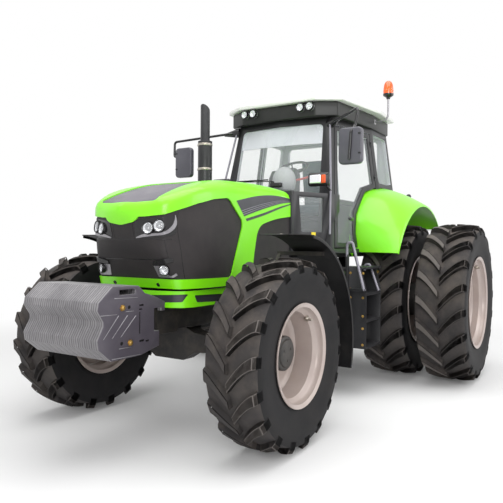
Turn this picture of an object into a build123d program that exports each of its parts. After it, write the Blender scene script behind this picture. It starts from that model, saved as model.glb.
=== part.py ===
from build123d import *
from math import cos, degrees, radians, sin, sqrt
import os

# Four-wheel-drive farm tractor with dual rear wheels and a front weight pack.
# Millimetres. X points forward, Y to the driver's left, Z up from the ground.
# The origin is on the ground, midway between the weights' nose and the hitch.

os.makedirs("parts", exist_ok=True)

# ---------------------------------------------------------------- main sizes
WHEELBASE = 3050
NOSE_AHEAD = 1190           # front axle to the nose of the weights
REAR_REACH = 1190           # rear axle to the lower links' ball ends
REAR_AXLE_X = (REAR_REACH - WHEELBASE - NOSE_AHEAD) / 2
FRONT_AXLE_X = REAR_AXLE_X + WHEELBASE
SIDES = ((1, "left"), (-1, "right"))

REAR_TYRE_R = 880
REAR_TYRE_W = 520
REAR_RIM_R = 492
REAR_INNER_Y = 970
REAR_OUTER_Y = 1610
REAR_LUGS = 20
REAR_LUG_H = 42
FRONT_TYRE_R = 710
FRONT_TYRE_W = 430
FRONT_RIM_R = 362
FRONT_WHEEL_Y = 1010
FRONT_LUGS = 18
FRONT_LUG_H = 38
FIT = 0.3                   # clearance between seated pieces
SHAFT_FIT = 0.1             # radial clearance of a running shaft
MERGE = 1                   # how far pieces of one casting run into each other
SHEET = 6                   # thickness of the sheet metal


def ahead(distance):
    """X of a point that lies this far ahead of the rear axle."""
    return REAR_AXLE_X + distance


def front(distance):
    """X of a point that lies this far ahead of the front axle."""
    return FRONT_AXLE_X + distance


def mirrored(half):
    """A whole outline from its left half's (x, y) points."""
    return half + tuple((x, -y) for x, y in reversed(half) if y)


def plan_outline(points, z_from, z_to, mode=Mode.ADD):
    """Extrude an outline of (x, y) points between two heights."""
    with BuildSketch(Plane.XY.offset(z_from)) as outline:
        Polygon(*points, align=None)
    extrude(outline.sketch, amount=z_to - z_from, mode=mode)


def side_outline(points, y_from, y_to, mode=Mode.ADD, corner=0):
    """Extrude an outline of (x, z) points across the tractor, its corners rounded."""
    with BuildSketch(Plane.XZ.offset(-max(y_from, y_to))) as outline:
        Polygon(*points, align=None)
        if corner:
            fillet(outline.vertices(), corner)
    extrude(outline.sketch, amount=abs(y_to - y_from), mode=mode)


def front_outline(points, x_from, x_to, mode=Mode.ADD, corner=0):
    """Extrude an outline of (y, z) points along the tractor, its corners rounded."""
    with BuildSketch(Plane.YZ.offset(x_from)) as outline:
        Polygon(*points, align=None)
        if corner:
            fillet(outline.vertices(), corner)
    extrude(outline.sketch, amount=x_to - x_from, mode=mode)


def bar(x_from, x_to, y_from, y_to, z_from, z_to, mode=Mode.ADD):
    """A straight-sided bar between three pairs of faces."""
    with BuildSketch(Plane.XY.offset(z_from)) as outline:
        with Locations(((x_from + x_to) / 2, (y_from + y_to) / 2)):
            Rectangle(x_to - x_from, abs(y_to - y_from))
    extrude(outline.sketch, amount=z_to - z_from, mode=mode)


def cross_pin(x, z, y_from, y_to, radius, mode=Mode.ADD):
    """A round bar across the tractor."""
    with BuildSketch(Plane.XZ.offset(-max(y_from, y_to))) as section:
        with Locations((x, z)):
            Circle(radius)
    extrude(section.sketch, amount=abs(y_to - y_from), mode=mode)


def upright_pin(x, y, z_from, z_to, radius, mode=Mode.ADD):
    """A round bar that stands upright."""
    with BuildSketch(Plane.XY.offset(z_from)) as section:
        with Locations((x, y)):
            Circle(radius)
    extrude(section.sketch, amount=z_to - z_from, mode=mode)


def long_pin(y, z, x_from, x_to, radius, mode=Mode.ADD):
    """A round bar along the tractor."""
    with BuildSketch(Plane.YZ.offset(x_from)) as section:
        with Locations((y, z)):
            Circle(radius)
    extrude(section.sketch, amount=x_to - x_from, mode=mode)


def tube_run(points, radius, bend):
    """A bent tube through points, drawn with eight flats round its section."""
    with BuildLine() as route:
        FilletPolyline(*points, radius=bend)
    path = route.wires()[0]
    with BuildSketch(Plane(origin=points[0], z_dir=path % 0)) as section:
        RegularPolygon(radius, 8)
    sweep(section.sketch, path=path)


def flat_faced(faces, mode=Mode.ADD):
    """A closed body made of flat faces, each given as a run of corners."""
    add(Solid(Shell([Face(Wire.make_polygon(corners)) for corners in faces])), mode=mode)


def wheel_ring(x, y, axle_z, spokes):
    """Points round an axle from (degrees from straight down, radius) pairs."""
    ring = []
    for angle, radius in spokes:
        arm = Vector(0, 0, -radius).rotate(Axis.Y, angle)
        ring.append(Vector(x + arm.X, y, axle_z + arm.Z))
    return ring


def turned_ring(x, axle_z, profile, facets):
    """A ring round an axle from a closed profile of (y, radius) points."""
    turns = [number * 360 / facets for number in range(facets)]
    rings = [wheel_ring(x, y, axle_z, [(turn, radius) for turn in turns]) for y, radius in profile]
    faces = []
    for near, far in zip(rings, rings[1:] + rings[:1]):
        for k in range(facets):
            m = (k + 1) % facets
            faces.append((near[k], near[m], far[m], far[k]))
    flat_faced(faces)


# -------------------------------------------------------------------- tyres
LUG_SWEEP = 15              # degrees that a lug's outer end trails its inner end
LUG_HALF_T = 22             # half thickness of a lug's tip
LUG_FLARE = 10              # how much further out a lug's root is, each way
SHOULDER_SHARE = 0.93       # where the tread ends, of the tyre's half width
CROWN_DROP = 0.035          # how much smaller the tread is there, of the radius
BELLY_SHARE = 0.82          # radius at the widest point, of the tyre's radius
BEAD_SHARE = 0.84           # half width at the rim, of the tyre's half width


def lug_section(turn, radius, tip_radius, floor_radius):
    """One lug's cut across: root, tip, tip and root, as spokes of a ring."""
    tip = degrees(LUG_HALF_T / radius)
    root = degrees((LUG_HALF_T + LUG_FLARE) / radius)
    return ((turn - root, floor_radius), (turn - tip, tip_radius),
            (turn + tip, tip_radius), (turn + root, floor_radius))


def tyre(x, y, radius, width, rim_radius, lugs, lug_h):
    """A tyre with crossing bars, as a closed net of flat faces round the axle."""
    pitch = 360 / lugs
    half = width / 2
    top = radius / cos(LUG_HALF_T / radius)
    shoulder = radius * (1 - CROWN_DROP)
    belly = radius * BELLY_SHARE
    bead_r = rim_radius / cos(radians(pitch / 4))
    inner, outer, wall, bead = {}, {}, {}, {}
    for side, first in ((1, 0), (-1, pitch / 2)):
        inner_turns = [first + number * pitch for number in range(lugs)]
        outer_turns = [turn - LUG_SWEEP for turn in inner_turns]
        inner[side] = [wheel_ring(x, y, radius, lug_section(turn, radius, top, radius - lug_h))
                       for turn in inner_turns]
        shoulder_y = y + side * SHOULDER_SHARE * half
        outer[side] = [wheel_ring(x, shoulder_y, radius,
                                  lug_section(turn, radius, shoulder, shoulder - lug_h))
                       for turn in outer_turns]
        marks = [turn + step for turn in outer_turns for step in (0, pitch / 2)]
        wall[side] = wheel_ring(x, y + side * half, radius, [(turn, belly) for turn in marks])
        bead[side] = wheel_ring(x, y + side * BEAD_SHARE * half, radius,
                                [(turn, bead_r) for turn in marks])
    net = []
    for side in (1, -1):
        for number in range(lugs):
            after = (number + 1) % lugs
            near, far = inner[side][number], outer[side][number]
            near_after, far_after = inner[side][after][0], outer[side][after][0]
            between = inner[-side][number if side > 0 else after]
            for k in range(3):
                net += [(near[k], near[k + 1], far[k + 1]), (near[k], far[k + 1], far[k])]
            # the lug's end on the centre plane, and the floor up to the next lug
            net.append(tuple(near))
            net += [(near[3], between[0], far[3]), (between[0], between[3], far[3]),
                    (between[3], far_after, far[3]), (between[3], near_after, far_after)]
            # the shoulder, down to the widest point
            lug_mark, gap_mark = wall[side][2 * number], wall[side][2 * number + 1]
            next_mark = wall[side][2 * after]
            net += [(far[0], far[1], lug_mark), (far[1], far[2], lug_mark),
                    (far[2], far[3], lug_mark), (far[3], gap_mark, lug_mark),
                    (far[3], far_after, gap_mark), (far_after, next_mark, gap_mark)]
            for k in (2 * number, 2 * number + 1):
                m = (k + 1) % (2 * lugs)
                net.append((wall[side][k], wall[side][m], bead[side][m], bead[side][k]))
    for k in range(2 * lugs):
        # the bore: the other side's marks are half a pitch round
        m = (k + 1) % (2 * lugs)
        net.append((bead[1][k], bead[1][m], bead[-1][k], bead[-1][k - 1]))
    flat_faced(net)


for side, name in SIDES:
    with BuildPart() as rear_tyres:
        for wheel_y in (REAR_INNER_Y, REAR_OUTER_Y):
            tyre(REAR_AXLE_X, side * wheel_y, REAR_TYRE_R, REAR_TYRE_W, REAR_RIM_R,
                 REAR_LUGS, REAR_LUG_H)
    rear_tyres.part.label = f"rear_tyres_{name}"
    export_step(rear_tyres.part, f"parts/rear_tyres_{name}.step")

    with BuildPart() as front_tyre:
        tyre(FRONT_AXLE_X, side * FRONT_WHEEL_Y, FRONT_TYRE_R, FRONT_TYRE_W, FRONT_RIM_R,
             FRONT_LUGS, FRONT_LUG_H)
    front_tyre.part.label = f"front_tyre_{name}"
    export_step(front_tyre.part, f"parts/front_tyre_{name}.step")

# --------------------------------------------------------------------- rims
RIM_WALL = 10
BEAD_GAP = 6                # bead to the flange beside it
FLANGE_T = 8
FLANGE_RISE = 22            # flange's edge above the bead seat
SEAT_W = 46                 # flange to the step down into the well
STEP_W = 26                 # width of that sloping step
WELL_DROP = 44              # bead seat to the well's inner face
REAR_DISC_OFFSET = 60       # disc, outboard of the wheel's centre
FRONT_DISC_OFFSET = -60     # disc, inboard of the wheel's centre
DISC_T = 16
SPACER_R = 210              # drum between the dual discs
SPACER_WALL = 20
REAR_HUB_R = 150
REAR_HUB_L = 260
REAR_HUB_REACH = 40         # hub's end past the inner disc
FRONT_HUB_R = 132
FRONT_HUB_L = 170
FRONT_HUB_REACH = 118       # drum's end past the disc
HUB_CAP_R = 104
HUB_CAP_T = 14


def rim(x, z, side, y, rim_radius, tyre_width, disc_offset, hub_radius, facets):
    """A rim with flanges, bead seats and a well, in one with its disc."""
    edge = BEAD_SHARE * tyre_width / 2 + BEAD_GAP
    seat = rim_radius - FIT
    well = seat - WELL_DROP
    section = (
        # distance outboard of the wheel's centre, radius
        (edge + FLANGE_T, seat + FLANGE_RISE), (edge, seat + FLANGE_RISE), (edge, seat),
        (-edge, seat), (-edge, seat + FLANGE_RISE), (-edge - FLANGE_T, seat + FLANGE_RISE),
        (-edge - FLANGE_T, well), (disc_offset - DISC_T / 2, well),
        (disc_offset - DISC_T / 2, hub_radius), (disc_offset + DISC_T / 2, hub_radius),
        (disc_offset + DISC_T / 2, well), (edge - SEAT_W - STEP_W, well),
        (edge - SEAT_W, seat - RIM_WALL), (edge + FLANGE_T, seat - RIM_WALL),
    )
    turned_ring(x, z, [(y + side * offset, radius) for offset, radius in section], facets)


for side, name in SIDES:
    with BuildPart() as rear_rims:
        for wheel_y in (REAR_INNER_Y, REAR_OUTER_Y):
            rim(REAR_AXLE_X, REAR_TYRE_R, side, side * wheel_y, REAR_RIM_R, REAR_TYRE_W,
                REAR_DISC_OFFSET, REAR_HUB_R - MERGE, REAR_LUGS)
        # spacer drum between the dual discs, and the wheel hub it bolts to
        inner_face = REAR_INNER_Y + REAR_DISC_OFFSET + DISC_T / 2
        outer_face = REAR_OUTER_Y + REAR_DISC_OFFSET - DISC_T / 2
        drum = ((inner_face - MERGE, SPACER_R), (outer_face + MERGE, SPACER_R),
                (outer_face + MERGE, SPACER_R - SPACER_WALL),
                (inner_face - MERGE, SPACER_R - SPACER_WALL))
        turned_ring(REAR_AXLE_X, REAR_TYRE_R, [(side * y, radius) for y, radius in drum], REAR_LUGS)
        hub_end = inner_face + REAR_HUB_REACH
        cross_pin(REAR_AXLE_X, REAR_TYRE_R, side * (hub_end - REAR_HUB_L), side * hub_end, REAR_HUB_R)
        cap_foot = outer_face + DISC_T - MERGE
        cross_pin(REAR_AXLE_X, REAR_TYRE_R, side * cap_foot, side * (cap_foot + HUB_CAP_T),
                  REAR_HUB_R + SPACER_WALL)
    rear_rims.part.label = f"rear_rims_{name}"
    export_step(rear_rims.part, f"parts/rear_rims_{name}.step")

    with BuildPart() as front_rim:
        rim(FRONT_AXLE_X, FRONT_TYRE_R, side, side * FRONT_WHEEL_Y, FRONT_RIM_R, FRONT_TYRE_W,
            FRONT_DISC_OFFSET, FRONT_HUB_R - MERGE, FRONT_LUGS)
        # planetary hub drum, out past the disc, with its round end cover
        drum_end = FRONT_WHEEL_Y + FRONT_DISC_OFFSET + FRONT_HUB_REACH
        cross_pin(FRONT_AXLE_X, FRONT_TYRE_R, side * (drum_end - FRONT_HUB_L), side * drum_end,
                  FRONT_HUB_R)
        cross_pin(FRONT_AXLE_X, FRONT_TYRE_R, side * (drum_end - MERGE),
                  side * (drum_end + HUB_CAP_T), HUB_CAP_R)
    front_rim.part.label = f"front_rim_{name}"
    export_step(front_rim.part, f"parts/front_rim_{name}.step")

# --------------------------------------------------------------- front axle
KINGPIN_Y = 780
KINGPIN_R = 28
KNUCKLE_H = 150             # half height of the knuckle between the fork's arms
KNUCKLE_R = 52
KNUCKLE_REACH = 70          # kingpin to the knuckle's outer face
SPINDLE_R = 105
STEER_ARM = 190             # kingpin to the tie rod's pin, straight back
STEER_ARM_W = 50
ARM_DROP = 60               # axle to the middle of the steering arms
ARM_Z = FRONT_TYRE_R - ARM_DROP
ARM_T = 26
TIE_ROD_R = 18
TIE_PIN_R = 15
TIE_EYE_R = 32
FORK_T = 34
FORK_HALF_W = 45
FORK_REACH = 40             # fork's end past the kingpin
CHEEK_HALF_W = 60
CHEEK_IN_Y = 630
CHEEK_OUT_Y = 690
AXLE_HALF_DEPTH = 70
AXLE_TOP = 140              # top of the differential above the wheels' axle
NOSE_R = 62
NOSE_REACH = 330            # axle to the end of the drive's nose
AXLE_OUTLINE = (
    # Y, height above the wheels' axle: left half from below
    (150, -143), (260, -70), (CHEEK_IN_Y + 10, -45), (CHEEK_IN_Y + 10, 50), (260, 90), (150, AXLE_TOP),
)

with BuildPart() as front_axle:
    # beam and differential housing, with a fork at each end for the kingpins
    half = tuple((y, FRONT_TYRE_R + rise) for y, rise in AXLE_OUTLINE)
    whole = half + tuple((-y, z) for y, z in reversed(half))
    front_outline(whole, front(-AXLE_HALF_DEPTH), front(AXLE_HALF_DEPTH))
    fork_low = FRONT_TYRE_R - KNUCKLE_H - FORK_T
    fork_high = FRONT_TYRE_R + KNUCKLE_H + FORK_T
    for side, name in SIDES:
        bar(front(-CHEEK_HALF_W), front(CHEEK_HALF_W), side * CHEEK_IN_Y, side * CHEEK_OUT_Y,
            fork_low, fork_high)
        for low in (fork_low, fork_high - FORK_T):
            bar(front(-FORK_HALF_W), front(FORK_HALF_W), side * (CHEEK_OUT_Y - MERGE),
                side * (KINGPIN_Y + FORK_REACH), low, low + FORK_T)
        upright_pin(FRONT_AXLE_X, side * KINGPIN_Y, fork_low, fork_high, KINGPIN_R)
    # final drive nose that takes the propeller shaft
    long_pin(0, FRONT_TYRE_R, front(-NOSE_REACH), front(MERGE - AXLE_HALF_DEPTH), NOSE_R)
front_axle.part.label = "front_axle"
export_step(front_axle.part, "parts/front_axle.step")

# knuckles: a block on each kingpin, the steering arm and the fender's bracket
FENDER_GAP = 175            # tyre to the fender over it
FENDER_R = FRONT_TYRE_R + FENDER_GAP
FENDER_ARM_X = -440         # cross tube under the fender, from the kingpin
FENDER_IN_Y = 880
FENDER_OUT_Y = 1240
FENDER_TUBE = 32            # square tube's width
STAY_IN_Y = KINGPIN_Y - 35
STAY_OUT_Y = KINGPIN_Y - 5
STAY_FOOT_X = front(-40)     # rear edge of each stay's foot
STAY_HALF_W = 15            # half width of each stay's head
KNUCKLE_GAP = 1             # knuckle to each fork arm

for side, name in SIDES:
    with BuildPart() as knuckle:
        low = FRONT_TYRE_R - KNUCKLE_H + KNUCKLE_GAP
        high = FRONT_TYRE_R + KNUCKLE_H - KNUCKLE_GAP
        spindle_end = FRONT_WHEEL_Y + FRONT_DISC_OFFSET + FRONT_HUB_REACH - FRONT_HUB_L - FIT
        upright_pin(FRONT_AXLE_X, side * KINGPIN_Y, low, high, KNUCKLE_R)
        bar(front(-KNUCKLE_R), front(KNUCKLE_R), side * KINGPIN_Y, side * (KINGPIN_Y + KNUCKLE_REACH),
            low, high)
        cross_pin(FRONT_AXLE_X, FRONT_TYRE_R, side * (KINGPIN_Y + KNUCKLE_REACH - MERGE),
                  side * spindle_end, SPINDLE_R)
        # steering arm to the rear, with its eye
        arm = (ARM_Z - ARM_T / 2, ARM_Z + ARM_T / 2)
        bar(front(-STEER_ARM), FRONT_AXLE_X, side * (KINGPIN_Y - STEER_ARM_W / 2),
            side * (KINGPIN_Y + STEER_ARM_W / 2), *arm)
        upright_pin(front(-STEER_ARM), side * KINGPIN_Y, *arm, TIE_EYE_R)
        # stay up to the fender, inboard of the tyre, and its cross tube
        tube_r = FENDER_R - SHEET - FENDER_TUBE * sqrt(0.5) - FIT
        tube_z = FRONT_TYRE_R + sqrt(tube_r ** 2 - FENDER_ARM_X ** 2)
        side_outline(((STAY_FOOT_X, FRONT_TYRE_R + 10), (STAY_FOOT_X, FRONT_TYRE_R + 90),
                      (front(FENDER_ARM_X + STAY_HALF_W), tube_z),
                      (front(FENDER_ARM_X - STAY_HALF_W), tube_z)),
                     side * STAY_IN_Y, side * STAY_OUT_Y)
        bar(front(FENDER_ARM_X - FENDER_TUBE / 2), front(FENDER_ARM_X + FENDER_TUBE / 2),
            side * STAY_IN_Y, side * (FENDER_OUT_Y - 80),
            tube_z - FENDER_TUBE / 2, tube_z + FENDER_TUBE / 2)
        upright_pin(FRONT_AXLE_X, side * KINGPIN_Y, low - MERGE, high + MERGE,
                    KINGPIN_R + SHAFT_FIT, Mode.SUBTRACT)
        upright_pin(front(-STEER_ARM), side * KINGPIN_Y, ARM_Z - ARM_T, ARM_Z + ARM_T,
                    TIE_PIN_R + SHAFT_FIT, Mode.SUBTRACT)
    knuckle.part.label = f"knuckle_{name}"
    export_step(knuckle.part, f"parts/knuckle_{name}.step")

# front fenders: rolled sheet over each tyre, its front corner cut back outboard
FENDER_START = 84           # degrees from straight ahead, up round the axle
FENDER_SWEEP = 112
FENDER_CUT_X = -100         # where the cut-back meets the outer edge
FENDER_TIP_X = 200          # where it meets the inner edge's tip
FENDER_TIP_W = 40           # width that the tip keeps
FENDER_LIP = 26             # edge turned down outboard

for side, name in SIDES:
    with BuildPart() as front_fender:
        for y_in, y_out, depth in ((FENDER_IN_Y, FENDER_OUT_Y, SHEET),
                                   (FENDER_OUT_Y - SHEET, FENDER_OUT_Y, FENDER_LIP)):
            with BuildSketch(Plane.XZ.offset(-max(side * y_in, side * y_out))) as arch:
                with BuildLine() as edge:
                    outer = CenterArc((FRONT_AXLE_X, FRONT_TYRE_R), FENDER_R, FENDER_START, FENDER_SWEEP)
                    inner = CenterArc((FRONT_AXLE_X, FRONT_TYRE_R), FENDER_R - depth, FENDER_START,
                                      FENDER_SWEEP)
                    Line(outer @ 0, inner @ 0)
                    Line(outer @ 1, inner @ 1)
                make_face()
            extrude(arch.sketch, amount=y_out - y_in)
        corner = ((front(FENDER_CUT_X), side * (FENDER_OUT_Y + MERGE)),
                  (front(FENDER_TIP_X), side * (FENDER_OUT_Y + MERGE)),
                  (front(FENDER_TIP_X), side * (FENDER_IN_Y + FENDER_TIP_W)))
        plan_outline(corner, FRONT_TYRE_R, FRONT_TYRE_R + FENDER_R + MERGE, Mode.SUBTRACT)
    front_fender.part.label = f"front_fender_{name}"
    export_step(front_fender.part, f"parts/front_fender_{name}.step")

with BuildPart() as tie_rod:
    # a rod between the arms' eyes, below them, with a pin up into each eye
    rod_z = ARM_Z - ARM_T / 2 - TIE_ROD_R - 6
    cross_pin(front(-STEER_ARM), rod_z, -KINGPIN_Y, KINGPIN_Y, TIE_ROD_R)
    for side, name in SIDES:
        upright_pin(front(-STEER_ARM), side * KINGPIN_Y, rod_z, ARM_Z + ARM_T / 2, TIE_PIN_R)
tie_rod.part.label = "tie_rod"
export_step(tie_rod.part, "parts/tie_rod.step")

# steering cylinder: barrel on the axle, its rod's eye above the left arm
CYL_EYE_H = 28
CYL_GAP = 5                 # steering arm to the rod's eye
CYL_Z = ARM_Z + ARM_T / 2 + CYL_GAP + CYL_EYE_H / 2
CYL_ROD_R = 12
CYL_EYE_R = 28
CYL_X = front(-STEER_ARM)
CYL_R = 30
CYL_FOOT_Y = 90
CYL_MOUTH_Y = 420
CYL_END_T = 20              # closed end, and half the bracket's height
CYL_BRACKET_W = 80
CYL_STROKE = 140            # closed end to the rod's inner end
with BuildPart() as steering_barrel:
    cross_pin(CYL_X, CYL_Z, CYL_FOOT_Y, CYL_MOUTH_Y, CYL_R)
    bar(CYL_X + CYL_R / 2, front(-AXLE_HALF_DEPTH - FIT), CYL_FOOT_Y + CYL_R,
        CYL_FOOT_Y + CYL_R + CYL_BRACKET_W, CYL_Z - CYL_END_T, CYL_Z + CYL_END_T)
    cross_pin(CYL_X, CYL_Z, CYL_FOOT_Y + CYL_END_T, CYL_MOUTH_Y + MERGE, CYL_ROD_R + SHAFT_FIT,
              Mode.SUBTRACT)
steering_barrel.part.label = "steering_barrel"
export_step(steering_barrel.part, "parts/steering_barrel.step")

with BuildPart() as steering_rod:
    cross_pin(CYL_X, CYL_Z, CYL_FOOT_Y + CYL_STROKE, KINGPIN_Y - CYL_ROD_R, CYL_ROD_R)
    upright_pin(CYL_X, KINGPIN_Y, CYL_Z - CYL_EYE_H / 2, CYL_Z + CYL_EYE_H / 2, CYL_EYE_R)
    upright_pin(CYL_X, KINGPIN_Y, CYL_Z - CYL_EYE_H, CYL_Z + CYL_EYE_H, TIE_PIN_R, Mode.SUBTRACT)
steering_rod.part.label = "steering_rod"
export_step(steering_rod.part, "parts/steering_rod.step")

# ------------------------------------------------------------ chassis castings
RAIL_IN_Y = 215
RAIL_OUT_Y = 265
RAIL_LOW = FRONT_TYRE_R + 150
RAIL_HIGH = RAIL_LOW + 180
RAIL_REAR_X = ahead(1900)
RAIL_FRONT_X = front(510)
SUPPORT_X = front(280)      # rear face of the front support between the rails
SADDLE_HALF_L = 120
CARRIER_X = front(590)
CARRIER_T = 74
CARRIER_HALF_W = 330
CARRIER_LOW = RAIL_LOW + 40
CARRIER_HIGH = CARRIER_LOW + 160
ENGINE_HALF_W = 205
ENGINE_TOP = 1640

with BuildPart() as front_frame:
    # two side rails, the front support between them and the axle's saddle
    for side, name in SIDES:
        bar(RAIL_REAR_X, RAIL_FRONT_X, side * RAIL_IN_Y, side * RAIL_OUT_Y, RAIL_LOW, RAIL_HIGH)
    bar(SUPPORT_X, RAIL_FRONT_X, -RAIL_OUT_Y, RAIL_OUT_Y, RAIL_LOW - 20, RAIL_HIGH)
    saddle_low = FRONT_TYRE_R + AXLE_TOP + MERGE
    bar(front(-SADDLE_HALF_L), front(SADDLE_HALF_L), -RAIL_OUT_Y, RAIL_OUT_Y, saddle_low,
        RAIL_LOW + 70)
front_frame.part.label = "front_frame"
export_step(front_frame.part, "parts/front_frame.step")

with BuildPart() as weight_carrier:
    # cross bar that the weights hook over, on a bolted foot
    bar(CARRIER_X, CARRIER_X + CARRIER_T, -CARRIER_HALF_W, CARRIER_HALF_W, CARRIER_LOW, CARRIER_HIGH)
    bar(RAIL_FRONT_X, CARRIER_X + MERGE, -RAIL_OUT_Y + 25, RAIL_OUT_Y - 25, CARRIER_LOW - 40,
        CARRIER_HIGH - 40)
weight_carrier.part.label = "weight_carrier"
export_step(weight_carrier.part, "parts/weight_carrier.step")

# suitcase weights: cast plates side by side, hooked over the carrier
WEIGHT_COUNT = 12
WEIGHT_PITCH = 62
WEIGHT_GAP = 0.6
HOOK_BACK = 40              # hook's lip behind the carrier
HOOK_DROP = 25              # how far the lip reaches down
GRIP_H = 34                 # slot for a hand, through every plate
HOOK_TOP = CARRIER_HIGH + FIT
FOOT_Z = CARRIER_LOW - FIT


def nose(back):
    """X of a point this far behind the weights' nose."""
    return front(NOSE_AHEAD - back)


WEIGHT_OUTLINE = (
    # X, Z: hook over the carrier, the foot below it, then up round the two-lobed nose
    (CARRIER_X - HOOK_BACK, HOOK_TOP + 40), (CARRIER_X - HOOK_BACK, HOOK_TOP - HOOK_DROP),
    (CARRIER_X - FIT, HOOK_TOP - HOOK_DROP), (CARRIER_X - FIT, HOOK_TOP),
    (CARRIER_X + CARRIER_T + FIT, HOOK_TOP), (CARRIER_X + CARRIER_T + FIT, FOOT_Z),
    (CARRIER_X + 20, FOOT_Z), (CARRIER_X + 20, FOOT_Z - 110), (nose(390), FOOT_Z - 150),
    (nose(120), FOOT_Z - 150), (nose(10), FOOT_Z - 60), (nose(0), FOOT_Z), (nose(50), FOOT_Z + 85),
    (nose(50), FOOT_Z + 115), (nose(0), FOOT_Z + 190), (nose(10), FOOT_Z + 240),
    (nose(130), FOOT_Z + 338), (nose(370), FOOT_Z + 330), (nose(430), FOOT_Z + 276),
    (nose(520), FOOT_Z + 250),
)
with BuildPart() as front_weights:
    for number in range(WEIGHT_COUNT):
        left = (number - WEIGHT_COUNT / 2) * WEIGHT_PITCH
        faces = (left + WEIGHT_GAP / 2, left + WEIGHT_PITCH - WEIGHT_GAP / 2)
        side_outline(WEIGHT_OUTLINE, *faces)
        grip_low = FOOT_Z + 276
        side_outline(((nose(340), grip_low), (nose(340), grip_low + GRIP_H),
                      (nose(190), grip_low + GRIP_H), (nose(190), grip_low)), *faces, Mode.SUBTRACT)
front_weights.part.label = "front_weights"
export_step(front_weights.part, "parts/front_weights.step")

with BuildPart() as engine_block:
    # closed in by the hood: crankcase between the rails, sump and rocker cover
    bar(RAIL_REAR_X, front(-50), -ENGINE_HALF_W, ENGINE_HALF_W, RAIL_LOW + 80, ENGINE_TOP)
    bar(ahead(2020), front(-150), -160, 160, FRONT_TYRE_R + 90, RAIL_LOW + 81)
    side_outline(((ahead(2000), ENGINE_TOP - MERGE), (ahead(2040), 1820), (front(-150), 1820),
                  (front(-110), ENGINE_TOP - MERGE)), -120, 120)
engine_block.part.label = "engine_block"
export_step(engine_block.part, "parts/engine_block.step")

with BuildPart() as radiator_pack:
    bar(front(30), SUPPORT_X, -CARRIER_HALF_W, CARRIER_HALF_W, RAIL_HIGH + FIT, 1700)
radiator_pack.part.label = "radiator_pack"
export_step(radiator_pack.part, "parts/radiator_pack.step")

GEARBOX_HALF_W = 230
REAR_HOUSING_HALF_W = 290
GEARBOX_TOP = 1180
HOUSING_TOP = 1240
HOUSING_LOW = 560
HOUSING_REAR_X = ahead(-330)
PTO_FACE_X = ahead(-420)
PTO_Z = 640
ROCKSHAFT_X = ahead(-345)
ROCKSHAFT_Z = 1050
ROCKSHAFT_R = 40
LINK_PIVOT_X = ahead(-250)
LINK_PIVOT_Z = 600
LINK_PIN_R = 18
PTO_R = 17.5
PTO_SHOULDER_R = 22
TRANSFER_X = ahead(1960)    # end of the output to the front axle
TRUMPET_FOOT_R = 230
TRUMPET_END_R = 150
BELL_FLANGE_T = 40

with BuildPart() as transmission_housing:
    # gearbox that narrows to the flange at the rails, and the rear differential housing
    half = ((ahead(900), GEARBOX_HALF_W), (ahead(1650), GEARBOX_HALF_W),
            (ahead(1700), GEARBOX_HALF_W - 25), (RAIL_REAR_X - FIT, GEARBOX_HALF_W - 25))
    plan_outline(mirrored(half), 640, GEARBOX_TOP)
    bar(RAIL_REAR_X - BELL_FLANGE_T, RAIL_REAR_X - FIT, -RAIL_OUT_Y, RAIL_OUT_Y, RAIL_LOW, RAIL_HIGH)
    side_outline(((HOUSING_REAR_X, HOUSING_LOW), (HOUSING_REAR_X, 1160), (ahead(-250), HOUSING_TOP),
                  (ahead(860), HOUSING_TOP), (ahead(901), GEARBOX_TOP), (ahead(901), 640),
                  (ahead(500), HOUSING_LOW)), -REAR_HOUSING_HALF_W, REAR_HOUSING_HALF_W)
    bar(PTO_FACE_X, HOUSING_REAR_X + MERGE, -200, 200, 520, 1120)
    long_pin(0, FRONT_TYRE_R, ahead(900), TRANSFER_X, 45)
    long_pin(0, PTO_Z, PTO_FACE_X - MERGE, ahead(-300), PTO_SHOULDER_R + SHAFT_FIT, Mode.SUBTRACT)
    cross_pin(ROCKSHAFT_X, ROCKSHAFT_Z, -REAR_HOUSING_HALF_W - MERGE, REAR_HOUSING_HALF_W + MERGE,
              ROCKSHAFT_R + SHAFT_FIT, Mode.SUBTRACT)
    cross_pin(LINK_PIVOT_X, LINK_PIVOT_Z, -345, 345, LINK_PIN_R)
transmission_housing.part.label = "transmission_housing"
export_step(transmission_housing.part, "parts/transmission_housing.step")

with BuildPart() as drive_shaft:
    long_pin(0, FRONT_TYRE_R, TRANSFER_X + FIT, front(-NOSE_REACH - FIT), 32)
drive_shaft.part.label = "drive_shaft"
export_step(drive_shaft.part, "parts/drive_shaft.step")

with BuildPart() as rear_axle_housings:
    # trumpets that taper from the differential housing to the wheel hubs
    hub_face = REAR_INNER_Y + REAR_DISC_OFFSET + DISC_T / 2 + REAR_HUB_REACH - REAR_HUB_L - FIT
    for side, name in SIDES:
        with BuildSketch(Plane.YZ.offset(REAR_AXLE_X)) as trumpet:
            Polygon((side * REAR_HOUSING_HALF_W, REAR_TYRE_R),
                    (side * REAR_HOUSING_HALF_W, REAR_TYRE_R + TRUMPET_FOOT_R),
                    (side * (REAR_HOUSING_HALF_W + 90), REAR_TYRE_R + TRUMPET_END_R),
                    (side * hub_face, REAR_TYRE_R + TRUMPET_END_R), (side * hub_face, REAR_TYRE_R),
                    align=None)
        revolve(trumpet.sketch, axis=Axis((REAR_AXLE_X, 0, REAR_TYRE_R), (0, 1, 0)))
rear_axle_housings.part.label = "rear_axle_housings"
export_step(rear_axle_housings.part, "parts/rear_axle_housings.step")

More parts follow.
